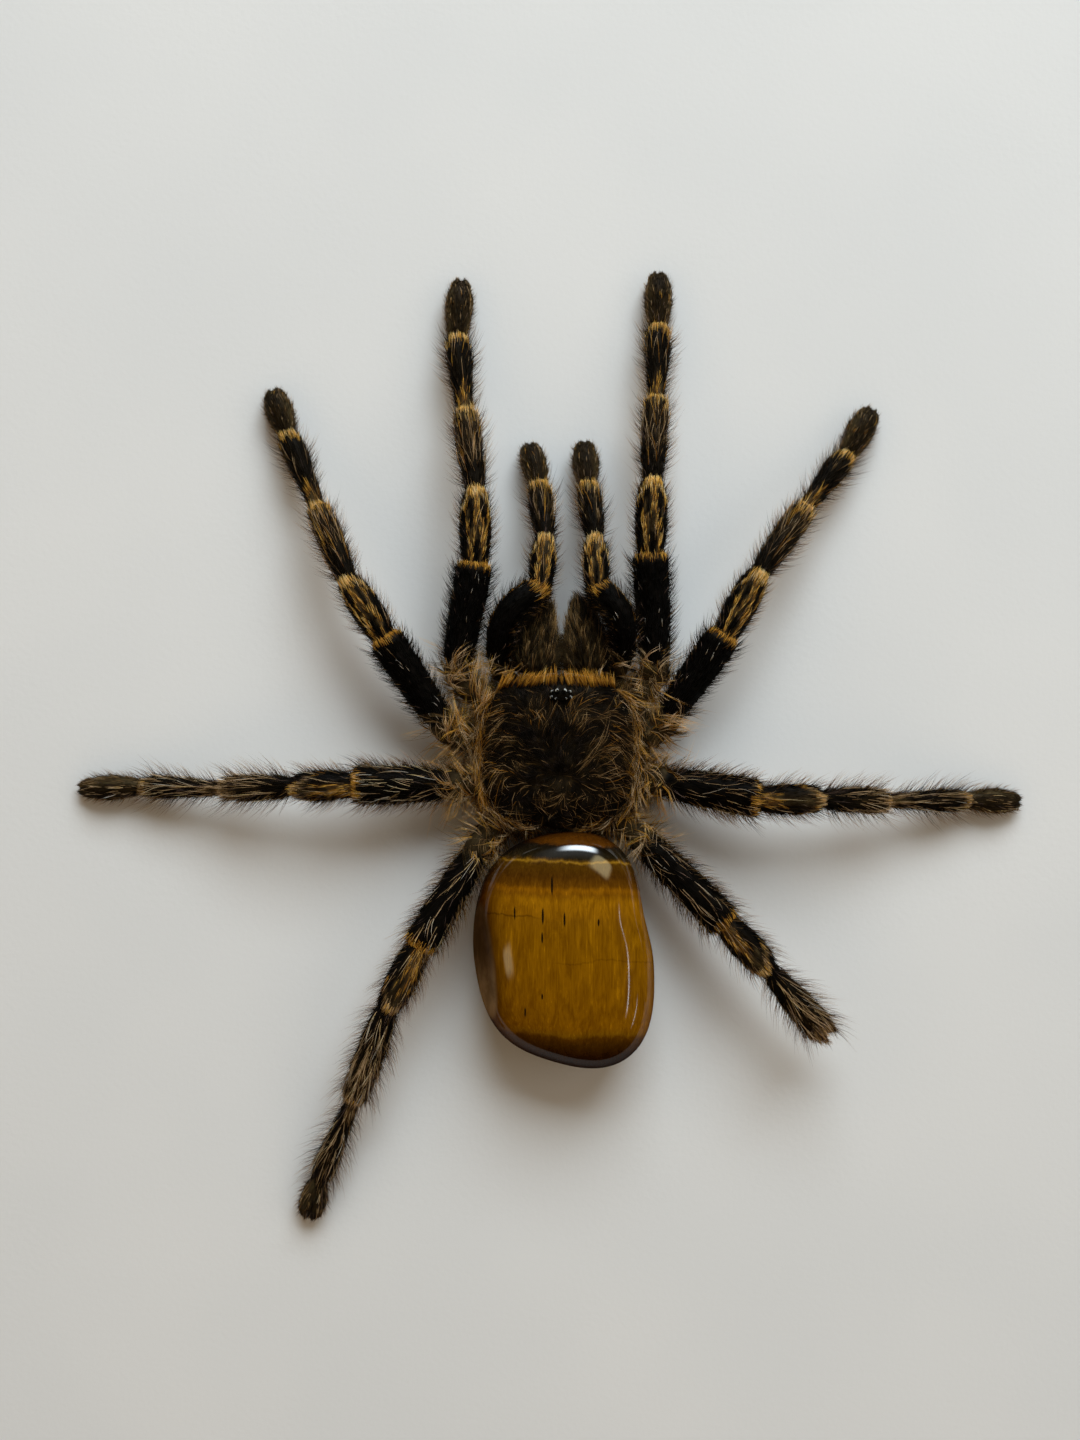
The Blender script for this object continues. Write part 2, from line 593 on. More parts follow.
class Coat:
    """Gathers hairs and joins them in one mesh."""

    SIDES = 3
    NARROWING = 0.72  # of its width, from a hair's root to its tip
    SKEW = (0.31, 0.17, 0.93)  # a hair sways square to itself and to this way
    WAVE_TURNS = 0.85  # of the sine wave along one wavy hair
    PHASE_TURNS = 7  # of the waves' start, from the first hair to the last
    FLOOR_GAP = 0.03
    CEILING = 16.2

    def __init__(self):
        self.points, self.triangles, self.quads = [], [], []
        self.triangle_maps, self.quad_maps = [], []
        self.total = 0

    def add(self, roots, ways, lengths, widths, tints, bends=0.0, rings=1, waves=0.0):
        """Adds one hair for each root. At the share s of its length a hair's middle line is at
        root + length * (way * s + bend * s^2), plus a sideways sine wave, and its three-sided
        section narrows to a point at the tip. None passes below the surface it lies on."""
        count = len(roots)
        share = np.arange(rings + 1) / rings
        s = share[None, :, None]
        bends = np.broadcast_to(bends, ways.shape)
        size = np.broadcast_to(lengths, (count,))[:, None, None]
        middle = roots[:, None] + size * (ways[:, None] * s + bends[:, None] * s**2)
        across = unit(np.cross(ways, self.SKEW))
        if waves:
            phase = np.linspace(0, 2 * math.pi, count)[:, None] * self.PHASE_TURNS
            sway = np.sin(2 * math.pi * self.WAVE_TURNS * share[None] + phase) - np.sin(phase)
            middle = middle + size * waves * sway[..., None] * across[:, None]
        half = np.broadcast_to(widths, (count,))[:, None, None] / 2
        taper = half * (1 - self.NARROWING * s[:, :-1])
        middle[..., 2] = np.clip(middle[..., 2], self.FLOOR_GAP + half[..., 0], self.CEILING)
        section = circles(full_turn(self.SIDES), across, np.cross(ways, across))
        rims = middle[:, :-1, None] + taper[:, :, None] * section[:, None]
        points = np.concatenate([rims.reshape(count, -1, 3), middle[:, -1:]], axis=1)
        triangles, quads, triangle_map, quad_map = self.pattern(rings, share)
        stride = self.total + np.arange(count)[:, None, None] * points.shape[1]
        self.points.append(points.reshape(-1, 3))
        self.triangles.append((stride + triangles).reshape(-1, 3))
        self.quads.append((stride + quads).reshape(-1, 4))
        self.total += points.shape[0] * points.shape[1]
        left = np.broadcast_to(tints, (count,)) * (1 - self.SIDES * TINT_WIDTH)
        shift = np.stack([left, np.zeros(count)], -1)[:, None, None]
        self.triangle_maps.append((shift + triangle_map).reshape(-1, 2))
        self.quad_maps.append((shift + quad_map).reshape(-1, 2))

    def pattern(self, rings, share):
        """One hair's faces, and the UV places of their corners: a base, the sides and the tip."""
        triangles, quads, triangle_map, quad_map = [(0, 2, 1)], [], [((0, 0), (2, 0), (1, 0.05))], []
        for ring in range(rings):
            for side in range(self.SIDES):
                here = ring * self.SIDES + side
                beside = ring * self.SIDES + (side + 1) % self.SIDES
                low, high = share[ring], share[ring + 1]
                if ring < rings - 1:
                    quads.append((here, beside, beside + self.SIDES, here + self.SIDES))
                    quad_map.append(((side, low), (side + 1, low), (side + 1, high), (side, high)))
                else:
                    triangles.append((here, beside, rings * self.SIDES))
                    triangle_map.append(((side, low), (side + 1, low), (side + 0.5, high)))
        scale = np.array([TINT_WIDTH, 1.0])
        return (
            np.array(triangles), np.array(quads, int).reshape(-1, 4),
            np.array(triangle_map) * scale, np.array(quad_map).reshape(-1, 4, 2) * scale,
        )  # fmt: skip

    def piece(self, name, finish, slot):
        places = np.concatenate(self.triangle_maps + self.quad_maps)
        faces = [np.concatenate(self.triangles), np.concatenate(self.quads)]
        faces = [part for part in faces if len(part)]
        maps = {"Hair": places, "OFBake": places}
        add_piece(name, np.concatenate(self.points), faces, finish, maps=maps)


def strew(tints, chance, low, high, rng):
    """Strews other hairs among these: by its chance each takes a palette place from low to high."""
    other = rng.random(len(tints)) < chance
    return np.where(other, rng.uniform(low, high, len(tints)), tints)


def wool_tints(shade, rng):
    """The wool's palette places: dark locks and light ones by their shade, a few hairs ginger."""
    tints = BLACK_BROWN + 0.04 + 0.57 * shade**0.7 + 0.07 * rng.normal(size=len(shade))
    ginger = 0.34 * ease(shade, 0.2, 0.6)
    tints = strew(np.minimum(tints, PALE), ginger, UMBER + 0.03, GOLD + 0.02, rng)
    return np.maximum(tints, BLACK_BROWN)


def lock_chances(hairs, locks, rng):
    """Three random numbers for each lock, the same for all its hairs."""
    return np.repeat(rng.random((3, locks)), hairs, axis=1)


# ---------------------------------------------------------------------------------------------
# Legs and pedipalps
# ---------------------------------------------------------------------------------------------

# Hairs for each square millimetre of a limb's skin, by the kind of hair.
UNDERCOAT_DENSITY = 5.4
TOPCOAT_DENSITY = 1.5
PALE_DENSITY, HIND_PALE_DENSITY = 2.2, 3.2
TUFT_DENSITY = 1.05
WOOL_DENSITY, PALP_WOOL_DENSITY = 6.0, 4.2
# Bristles, the straight short ones and the bent longer ones: density, rings and share of length.
BRISTLES = ((1.9, 1, (0.55, 1.05)), (0.60, 2, (0.95, 1.5)))
CLOSING_HAIRS = 900  # between a pedipalp's thigh and the jaw
TIP_HAIRS = 420
WOOL_LOCK = 5  # hairs in a lock
WOOL_WAVES = 0.05  # their sideways waves, as a share of their length
# The share of the pale hairs that grows on each segment.
PALE_SHARE = {FEMUR: 0.045, PATELLA: 0.04, TIBIA: 0.70, METATARSUS: 0.15, TARSUS: 0.35}
HIND_PALE_SHARE = {FEMUR: 0.13, PATELLA: 0.05, TIBIA: 0.60, METATARSUS: 0.5, TARSUS: 0.18}


def by_kind(kind, choices, otherwise=0.0):
    """For each place the choice that is made for its segment."""
    return np.select([kind == segment for segment in choices], list(choices.values()), otherwise)


class Limb:
    """A leg or pedipalp as rings: which segment each is on, and how far it is from its ends."""

    FEWEST_RINGS = 6  # of a segment
    GROUND_CLEARANCE = 1.06  # a ring's centre stands this many radii up, or higher

    def __init__(self, name, joints, segments, fur, bow, seed):
        self.name = name
        self.seed = seed
        self.rng = np.random.default_rng(seed)
        self.coat = Coat()
        self.hind = name[:5] in ("leg_3", "leg_4")
        self.palp = name in PALP_JOINTS
        self.torn = name == BROKEN_LEG
        self.roll = PATTERN_ROLL[name]
        self.stripes_end = STRIPES_END.get(name, 20.0)
        self.cuffed = name not in UNCUFFED
        self.longer = 1.25 if self.hind else 1.0  # how much longer its hairs are
        self.outward = np.sign(bow[0])
        centre, radius = self.follow(joints, segments, fur, np.array(bow))
        joint = np.where(self.kind == segments[-1], self.start, np.minimum(self.start, self.end))
        pinch = 1 - JOINT_PINCH * bell(joint, JOINT_PINCH_LENGTH)
        self.radius = radius * SKIN_SHARE * pinch
        self.angle = -math.pi + full_turn(LIMB_COLUMNS)
        self.skin = Skin(self.rings(centre))
        self.furry = (self.kind[:-1, None] >= FEMUR).astype(float)
        area = 2 * math.pi * self.radius * RING_STEP
        self.outer = float(area[self.kind >= FEMUR].sum())
        self.inner = float(area[self.kind < FEMUR].sum())

    def follow(self, joints, segments, fur, bow):
        """Goes from joint to joint and notes each ring's segment and the distances to its ends.
        Gives the rings' centres and the radii of the fur, with the bends at the joints eased."""
        centres, radii, kinds, starts, ends = [], [], [], [], []
        for start, end, kind, radius in zip(joints, joints[1:], segments, fur):
            start, end = np.array(start), np.array(end)
            length = np.linalg.norm(end - start)
            share = np.arange(0, 1, 1 / max(self.FEWEST_RINGS, round(length / RING_STEP)))
            if kind == segments[-1]:
                share = np.append(share, 1.0)
            bowed = bow * (kind == FEMUR)
            middle = start + (end - start) * share[:, None]
            centres.append(middle + bowed * np.sin(math.pi * share)[:, None])
            swell = TORN_TIBIA if self.torn and kind == TIBIA else SWELL[kind]
            radii.append(radius * np.interp(share, *np.array(swell).T))
            kinds.append(np.full(len(share), kind))
            starts.append(share * length)
            ends.append((1 - share) * length)
        self.kind = np.concatenate(kinds)
        self.start = np.concatenate(starts)
        self.end = np.concatenate(ends)
        centre = settle(np.concatenate(centres), 3)
        radius = settle(np.concatenate(radii))
        centre[:, 2] = np.maximum(centre[:, 2], radius * self.GROUND_CLEARANCE)
        return centre, radius

    def rings(self, centre):
        """Circles square to the limb. The tip's two sides reach forward in lobes, the claw tufts,
        and a torn tip is jagged."""
        forward = unit(np.gradient(centre, axis=0))
        side = unit(np.cross(forward, UP))
        near_tip = np.where(self.kind == TARSUS, ease(self.end, 2.2, 0.0), 0.0)[:, None, None]
        lobe = near_tip * np.sin(self.angle)[None, :, None] ** 2
        spread = self.radius[:, None, None] * (1 + 0.22 * lobe)
        rings = spread * circles(self.angle, np.cross(side, forward), side)
        rings = centre[:, None] + rings + 0.35 * lobe * forward[:, None]
        if self.torn:
            rim = ease(self.end, 1.5, 0.0)[:, None] * (self.kind == TIBIA)[:, None]
            jagged = 0.7 * np.sin(3 * self.angle + 0.6) + 0.4 * np.sin(7 * self.angle)
            rings = rings + (rim * jagged)[..., None] * forward[:, None]
        rings[..., 2] = np.maximum(rings[..., 2], 0.05)
        return rings

    def marks(self, kind, start, end, angle):
        """How golden the coat is at these places, and the tint of the rest of it. start and end are
        the distances to the segment's ends, and angle is 0 along the middle of its back."""
        turned = (angle - self.roll + math.pi) % (2 * math.pi) - math.pi
        wide = np.abs(turned)
        sway = 0.06 * np.sin(0.8 * start + self.seed) + 0.04 * np.sin(1.6 * start + np.sign(turned))
        wavy = np.abs(turned + sway)
        lines = bell(wavy - 0.18, 0.09) + bell(wavy - 0.60, 0.09) + 0.8 * bell(wavy - 1.05, 0.09)
        faint = lines * (0.25 if self.hind else 0.05)
        golden = by_kind(
            kind,
            {
                FEMUR: self.femur_gold(end, wide, angle),
                PATELLA: self.patella_gold(start, end, wide, wavy),
                TIBIA: self.tibia_gold(start, end, wide, wavy, lines),
                METATARSUS: np.maximum(self.metatarsus_gold(start, end, wide), faint),
                TARSUS: faint,
            },
        )
        return np.clip(golden, 0, 1), self.ground(kind, start, end, wide)

    def femur_gold(self, end, wide, angle):
        """A ring at the knee, and a faint line down a pedipalp's outer edge."""
        reach = 1.3 if self.palp else 0.75
        knee = ease(end, reach, reach - 0.3) * ease(wide, 2.0, 1.5)
        edge = 0.5 * bell(angle * self.outward - 1.30, 0.13) if self.palp else 0.0
        return np.maximum(knee * (0.75 if self.hind else 1.0), edge)

    def patella_gold(self, start, end, wide, wavy):
        """A cap at the end, and two stripes on each side that draw apart towards it."""
        cap = ease(np.abs(end - 0.30 - 1.6 * wide**2), 0.95, 0.50) * ease(wide, 1.75, 1.4)
        share = start / np.maximum(start + end, 0.01)
        split = ease(share, 0.15, 0.75)
        half = 0.19 - 0.06 * ease(share, 0.1, 0.6)
        if self.hind:
            inner, outer, fade = 0.14 - 0.08 * split, 0.40 + 0.14 * split, ease(share, 0.82, 0.60)
            half = 0.8 * half
        else:
            inner, outer, fade = 0.43 - 0.30 * split, 0.46 + 0.36 * split, ease(share, 1.02, 0.95)
        if self.palp:
            inner, outer, half = 0.35 - 0.07 * split, 0.43 + 0.10 * split, 0.9 * half
        near = np.minimum(np.abs(wavy - inner), np.abs(wavy - outer))
        stripes = ease(near, half + 0.04, half - 0.04) * fade
        stripes = stripes * ease(start + 1.2 * wide, self.stripes_end + 0.8, self.stripes_end - 1.4)
        return np.maximum(cap * (0.92 if self.hind else 1.0), stripes * 0.92)

    def tibia_gold(self, start, end, wide, wavy, lines):
        """A band at the end, and fine lines that run up to it."""
        on_top = ease(wide, 2.3, 1.7)
        if self.palp:
            fan = 0.9 * bell(wavy - 0.58, 0.10) * ease(start, 0.5, 3.5)
            fan = fan + 0.5 * ease(end, 1.6, 0.6) * on_top
        else:
            fan = 0.35 * lines * ease(start, 2.0, 6.0) + 0.35 * ease(end, 3.0, 0.8) * on_top
        band = ease(end, 0.7, 0.3) * on_top
        return np.maximum(band * 0.8, fan)

    def metatarsus_gold(self, start, end, wide):
        """A flame that narrows from the start, and a pale cuff at the end."""
        flame = ease(wide - 1.45 * (1 - start / 5.0), 0.30, -0.30) * (1.0 - 0.13 * start)
        cuff = ease(np.abs(end - 0.35 - 0.7 * wide**2), 1.0, 0.5) * ease(wide, 1.6, 1.3)
        return np.maximum(flame * 0.9, cuff * self.cuffed * 0.8)

    def ground(self, kind, start, end, wide):
        """The tint between the golden marks, greyer on the hind legs."""
        back = ease(wide, 0.30, 0.10) * (start > 3)
        back = back + 0.6 * bell(end - 2.2, 1.0) * ease(wide, 0.8, 0.4)
        grey = 0.06 if self.hind else 0.0
        return by_kind(
            kind,
            {
                FEMUR: VELVET + 0.5 * grey,
                PATELLA: VELVET + 0.02 + 0.13 * back + 1.6 * grey * ease(wide, 1.2, 0.6),
                TIBIA: BLACK_BROWN - 0.03 + 0.06 * ease(start, 4.0, 9.0),
                METATARSUS: BLACK_BROWN - 0.04 + 0.02 * ease(start, 5.0, 8.0) + 0.2 * grey,
                TARSUS: DARK_BROWN - 0.06 + 0.18 * ease(wide, 0.3, 1.2),
            },
            DARK_BROWN + 0.04,
        )

    def at(self, places):
        """The segment, the distances to its ends and the angle at each place."""
        whole = places.row.astype(int)
        share = places.row - whole
        after = np.minimum(whole + 1, len(self.kind) - 1)
        same = self.kind[after] == self.kind[whole]
        step = np.where(same, self.start[after] - self.start[whole], RING_STEP)
        start = self.start[whole] + share * step
        end = self.end[whole] - share * step
        angle = -math.pi + 2 * math.pi * places.column / LIMB_COLUMNS
        return self.kind[whole], start, np.maximum(end, 0), angle

    def tints(self, places, lengths, spread=0.03):
        """A palette place for each hair: golden by the chance that the marks give at the middle of
        its length, otherwise the tint of the rest there."""
        rng, count = self.rng, len(places)
        kind, start, end, angle = self.at(places)
        start, end = start + 0.5 * lengths, np.maximum(0.0, end - 0.5 * lengths)
        golden, rest = self.marks(kind, start, end, angle)
        flat = np.stack([1.9 * angle, 0.09 * start + 9.0 * kind, 0 * start], -1)
        streak = ripples(flat, 0.8, 5)
        contrast = 0.15 if self.palp else 0.5
        chance = golden * (1.12 + contrast * streak * (golden < 0.95))
        crisp = (kind == PATELLA) & (not self.hind)
        is_gold = rng.random(count) < np.where(crisp, ease(chance, 0.30, 0.85), chance)

        stripe = (kind == PATELLA) & (golden < 0.95) & ((end > 2.4) | (not self.hind))
        flame = (kind == METATARSUS) & (start < 4.6)
        cuff = (kind >= TIBIA) & (end < 2.0)
        cases = [kind == FEMUR, stripe, flame, cuff, kind >= TIBIA]
        if self.hind:
            low = (ORANGE - 0.03, ORANGE - 0.04, BROWN, BROWN + 0.03, BROWN + 0.05, TAN - 0.05)
            high = (GOLD, GOLD + 0.02, PALE, PALE, PALE, PALE)
        else:
            low = (ORANGE - 0.02, ORANGE - 0.02, UMBER, ORANGE, BROWN, GOLD + 0.01)
            high = (GOLD + 0.01, GOLD + 0.03, GOLD, STRAW, PALE, STRAW + 0.02)
        low, high = (np.select(cases, shades[:-1], shades[-1]) for shades in (low, high))
        gold = low + (high - low) * np.clip(rng.random(count) + 0.15 * streak, 0, 1)
        dull = 0.15 * (self.hind & (kind == PATELLA))
        gold = strew(gold, dull, BROWN + 0.02, PALE, rng)

        spread = np.where((kind == FEMUR) & (not self.hind), 0.012, spread)
        spread = np.where(kind == TARSUS, 0.06 if self.palp else 0.10, spread)
        rest = rest + spread * rng.normal(size=count) + 0.03 * streak * (kind > PATELLA)
        return np.where(is_gold, gold, np.clip(rest, VELVET, PALE))

    def make_skin(self, finish):
        """The skin under the coat, tinted by the same marks."""
        rows, columns = self.skin.grid.shape[:2]
        kind, start, end = (np.repeat(part, columns) for part in (self.kind, self.start, self.end))
        golden, rest = self.marks(kind, start, end, np.tile(self.angle, rows))
        tint = rest + (BROWN - rest) * golden
        tint = np.append(tint, [tint[0], tint[-1]])
        lie = (26, rows * RING_STEP * 0.45)
        self.skin.piece(self.name + "_skin", finish, "leg_fur", self.name, lie, tint)

    def make_coat(self, finish):
        """The hairs, coat by coat."""
        self.add_undercoat()
        self.add_topcoat()
        self.add_pale_hairs()
        self.add_tufts()
        for density, rings, size in BRISTLES:
            self.add_bristles(density, rings, size)
        if self.palp:
            self.add_closing_hairs()
        self.add_wool()
        if self.torn:
            self.add_torn_spray()
        else:
            self.add_claw_tufts()
        self.coat.piece(self.name + "_hairs", finish, "leg_fur")

    def grow(self, density, weight):
        """So many places for each square millimetre from the femur on, placed by a weight."""
        return self.skin.grow(round(self.outer * density), self.rng, weight)

    def add_undercoat(self):
        """Dense short hairs that lie along the limb."""
        rng = self.rng
        under = self.grow(UNDERCOAT_DENSITY, self.furry)
        count = len(under)
        kind, _, end, _ = self.at(under)
        long = by_kind(kind, {FEMUR: 1.1, PATELLA: 1.1, TARSUS: 0.9}, 1.4)
        flow = 0.07 * ripples(under.point, 2.2, self.seed) + 0.07 * rng.normal(size=count)
        way = under.lay(rng.uniform(6, 22, count), flow)
        lengths = long * rng.uniform(0.75, 1.35, count) * self.longer
        lengths = np.where(kind == TARSUS, np.minimum(lengths, 0.3 + end), lengths)
        widths = rng.uniform(0.08, 0.12, count)
        self.coat.add(under.point, way, lengths, widths, self.tints(under, lengths))

    def add_topcoat(self):
        """Long sleek hairs combed over the short ones."""
        rng = self.rng
        over = self.grow(TOPCOAT_DENSITY, self.furry)
        count = len(over)
        kind, _, end, _ = self.at(over)
        long = by_kind(kind, {FEMUR: 1.7, PATELLA: 1.7, TARSUS: 1.4}, 2.7)
        long = np.minimum(long, by_kind(kind, {TARSUS: 0.3}, 0.9) + end)
        lengths = long * rng.uniform(0.7, 1.3, count)
        flow = 0.10 * ripples(over.point, 3.0, self.seed + 1) + 0.09 * rng.normal(size=count)
        way = over.lay(rng.uniform(6, 20, count), flow)
        tints = self.tints(over, lengths, 0.04)
        widths = rng.uniform(0.07, 0.10, count)
        self.coat.add(over.point, way, lengths, widths, tints, -0.12 * over.normal, rings=2)

    def add_pale_hairs(self):
        """Pale hairs: few and short on the fore legs' thighs, long and many on the hind legs."""
        rng, hind = self.rng, self.hind
        pale = self.grow(HIND_PALE_DENSITY if hind else PALE_DENSITY, self.furry)
        kind, start, end, angle = self.at(pale)
        share = by_kind(kind, HIND_PALE_SHARE if hind else PALE_SHARE)
        strand = np.sin(8.5 * angle + 0.5 * ripples(pale.point, 6.0, self.seed + 7))
        share = share * np.where(kind == FEMUR, 1.0, 2.2 * ease(strand, 0.3, 0.9))
        share = share * ease(np.abs(angle), 2.3, 1.7) * ease(end, 0.5, 1.5)
        share = share * np.where(kind >= TIBIA, ease(start, 0.2, 1.5 if hind else 3.5), 1.0)
        pale = pale.only(rng.random(len(pale)) < share)

        kind, _, end, _ = self.at(pale)
        count = len(pale)
        long = by_kind(kind, {FEMUR: 4.0, TARSUS: 2.4} if hind else {FEMUR: 1.3, TARSUS: 1.2}, 4.8)
        lengths = np.minimum(long * rng.uniform(0.6, 1.2, count), end + 0.6)
        flow = 0.13 * ripples(pale.point, 5.0, self.seed + 5) + 0.07 * rng.normal(size=count)
        way = pale.lay(rng.uniform(9, 18, count), flow)
        curl = 0.12 * ripples(pale.point, 3.0, self.seed + 6)
        bends = curl[:, None] * pale.around - 0.16 * pale.normal
        golden = (rng.random(count) < 0.4) & (kind > PATELLA) & (not hind)
        gold = rng.uniform(UMBER + 0.04, GOLD, count)
        tints = np.where(golden, gold, rng.uniform(TAN + 0.02, PALE, count))
        speck = (kind == FEMUR) & (not hind)
        tints = np.where(speck, WHITE - 0.01 * rng.random(count), tints)
        grey = hind & (rng.random(count) < np.where(kind == FEMUR, 0.45, 0.2))
        tints = np.where(grey, WHITE - 0.03 * rng.random(count), tints)
        widths = rng.uniform(0.065, 0.10, count)
        self.coat.add(pale.point, way, lengths, widths, tints, bends, rings=3)

    def add_tufts(self):
        """The golden tufts that reach over each joint."""
        rng, hind = self.rng, self.hind
        kind = self.kind[:-1]
        over_joint = (self.end[:-1] < by_kind(kind, {FEMUR: 0.6}, 1.6)) & (kind >= FEMUR)
        over_joint = (over_joint & (kind < TARSUS)).astype(float)[:, None]
        tuft = self.grow(TUFT_DENSITY, over_joint)
        kind, start, end, angle = self.at(tuft)
        golden, _ = self.marks(kind, start, end, angle)
        tuft = tuft.only((golden > 0.6) & (np.abs(angle - self.roll) < 1.5))
        count = len(tuft)
        kind = self.kind[tuft.row.astype(int)]
        long = by_kind(kind, {FEMUR: 1.4 if self.palp else 0.75, PATELLA: 1.5}, 1.15)
        lengths = long * rng.uniform(0.7, 1.2, count)
        lift = rng.uniform(14, 34, count) + 14 * (self.palp & (kind == FEMUR))
        way = tuft.lay(lift, 0.10 * rng.normal(size=count))
        tints = rng.uniform(GOLD - 0.02, STRAW + 0.01, count)
        if hind:
            tints = strew(tints, 0.5, TAN - 0.06, PALE, rng)
        tints = np.where(kind == FEMUR, rng.uniform(ORANGE - 0.03, GOLD, count), tints)
        self.coat.add(tuft.point, way, lengths, 0.10, tints, -0.25 * tuft.normal, rings=2)

    def add_bristles(self, density, rings, size):
        """Combs of bristles that stand off the flanks."""
        rng, hind = self.rng, self.hind
        flanks = 0.05 + bell(np.abs(self.angle)[None] - 1.5, 0.45)
        bristle = self.grow(density, self.furry * flanks)
        count = len(bristle)
        kind, _, end, _ = self.at(bristle)
        long = by_kind(kind, {FEMUR: 2.3, PATELLA: 2.3, TIBIA: 2.9, METATARSUS: 2.9}, 1.2)
        way = bristle.lay(rng.uniform(36, 60, count), 0.10 * rng.normal(size=count))
        dark = by_kind(kind, {FEMUR: 0.92}, 0.40) * (0.5 if hind else 1.0)
        dark = rng.random(count) < dark
        lit = rng.uniform(LIT_BRISTLE, DARK_BRISTLE, count)
        tints = np.where(dark, VELVET + 0.05, lit)
        pale = np.where((kind == FEMUR) & (not hind), 0.05, 0.3)
        tints = strew(tints, pale, BROWN, TAN, rng)
        lengths = long * rng.uniform(*size, count) * self.longer
        lengths = np.where(kind == TARSUS, np.minimum(lengths, 0.9 + 0.5 * end), lengths)
        widths = rng.uniform(0.055, 0.09, count) * by_kind(kind, {FEMUR: 1.25}, 1.0)
        bends = 0.25 * bristle.along - 0.08 * bristle.normal if rings > 1 else 0.0
        self.coat.add(bristle.point, way, lengths, widths, tints, bends, rings)

    def add_closing_hairs(self):
        """Black hairs that close the gap between a pedipalp's thigh and the jaw."""
        rng, count = self.rng, CLOSING_HAIRS
        inner = -self.outward * np.sin(self.angle)[None] > 0.5
        closing = self.skin.grow(count, rng, ((self.kind[:-1, None] == FEMUR) & inner).astype(float))
        way = closing.lay(rng.uniform(35, 75, count), 0.35 * rng.normal(size=count))
        tints = np.where(rng.random(count) < 0.1, BROWN, VELVET + 0.03)
        lengths = rng.uniform(1.3, 2.4, count)
        self.coat.add(closing.point, way, lengths, 0.11, tints, -0.25 * closing.normal, rings=2)

    def add_wool(self):
        """Wool in curling locks round the coxa and the trochanter."""
        rng = self.rng
        density = PALP_WOOL_DENSITY if self.palp else WOOL_DENSITY
        wool = self.skin.grow(round(self.inner * density / WOOL_LOCK), rng, 1.0 - self.furry)
        locks = len(wool)
        wool = wool.locks(WOOL_LOCK, rng, 0.20)
        count = len(wool)
        each = lock_chances(WOOL_LOCK, locks, rng)
        swing = 0.9 * ripples(wool.point, 3.0, self.seed + 2) + 2.0 * (each[0] - 0.5)
        swing = swing + 0.12 * rng.normal(size=count)
        way = wool.lay(12 + 55 * each[1] + rng.uniform(-6, 6, count), swing)
        curl = 0.9 * np.sign(each[2] - 0.5) * (0.4 + each[0])
        bends = curl[:, None] * wool.around - 0.30 * wool.normal + 0.2 * wool.along
        tints = wool_tints(each[2], rng)
        lengths = (2.2 + 2.8 * each[1]) * rng.uniform(0.8, 1.15, count) * (0.75 if self.palp else 1.0)
        widths = rng.uniform(0.08, 0.12, count)
        self.coat.add(wool.point, way, lengths, widths, tints, bends, rings=3, waves=WOOL_WAVES)

    def grow_at_tip(self, kind, reach, weight=1.0):
        """Places within this reach of the end of the last segment."""
        tip = ((self.kind[:-1] == kind) & (self.end[:-1] < reach)).astype(float)[:, None]
        return self.skin.grow(TIP_HAIRS, self.rng, tip * weight)

    def add_claw_tufts(self):
        """The brush on the sole and the two claw tufts."""
        rng, count = self.rng, TIP_HAIRS
        tuft = self.grow_at_tip(TARSUS, 1.8, 0.3 + np.abs(np.sin(self.angle))[None] ** 2)
        way = tuft.lay(rng.uniform(15, 50, count), 0.2 * rng.normal(size=count))
        tints = DARK_BROWN + 0.06 * rng.normal(size=count)
        self.coat.add(tuft.point, way, rng.uniform(0.35, 0.6, count), 0.10, tints)

    def add_torn_spray(self):
        """The spray of hairs over the torn end."""
        rng, count = self.rng, TIP_HAIRS
        spray = self.grow_at_tip(TIBIA, 2.5)
        way = spray.lay(rng.uniform(5, 45, count), 0.3 * rng.normal(size=count))
        tints = strew(np.full(count, BROWN + 0.04), 0.5, LIT_BRISTLE, DARK_BRISTLE, rng)
        lengths = rng.uniform(0.5, 1.7, count)
        self.coat.add(spray.point, way, lengths, 0.09, tints, 0.15 * spray.along, rings=2)


# ---------------------------------------------------------------------------------------------
# The body
# ---------------------------------------------------------------------------------------------


def superellipse(bearing, half, power):
    """How far a superellipse reaches from its centre at this bearing, 0 being straight ahead."""
    across = np.abs(np.sin(bearing) / half[0]) ** power
    along = np.abs(np.cos(bearing) / half[1]) ** power
    return (across + along) ** (-1.0 / power)


def ring_points(centre, bearing, reach, z):
    """Points round a centre at these bearings and reaches."""
    x = centre[0] + reach * np.sin(bearing)
    y = centre[1] + reach * np.cos(bearing)
    return np.stack([x, y, z + 0 * x], axis=-1)


def dome_rise(share):
    """The carapace's rise at this share of the way from its middle to its rim."""
    return np.sqrt(np.maximum(0, 1 - share**2.6))


def carapace_relief(x, y):
    """How much the carapace stands over its plain dome: the raised head between two grooves that
    run from the fovea to the front corners, the thorax's radial grooves and the pit."""
    across, along = x - FOVEA[0], y - FOVEA[1]
    far = np.hypot(across, along)
    bearing = np.arctan2(across, along)
    pit = -FOVEA_DEPTH * bell(far, 1.5)
    grooves = -GROOVE_DEPTH * (0.5 - 0.5 * np.cos(8 * bearing)) * bell(far - 5, 3)
    head = HEAD_RISE * bell(across, 5.0) / (1 + np.exp(-(along - 5) / 1.5))
    return pit + grooves + head


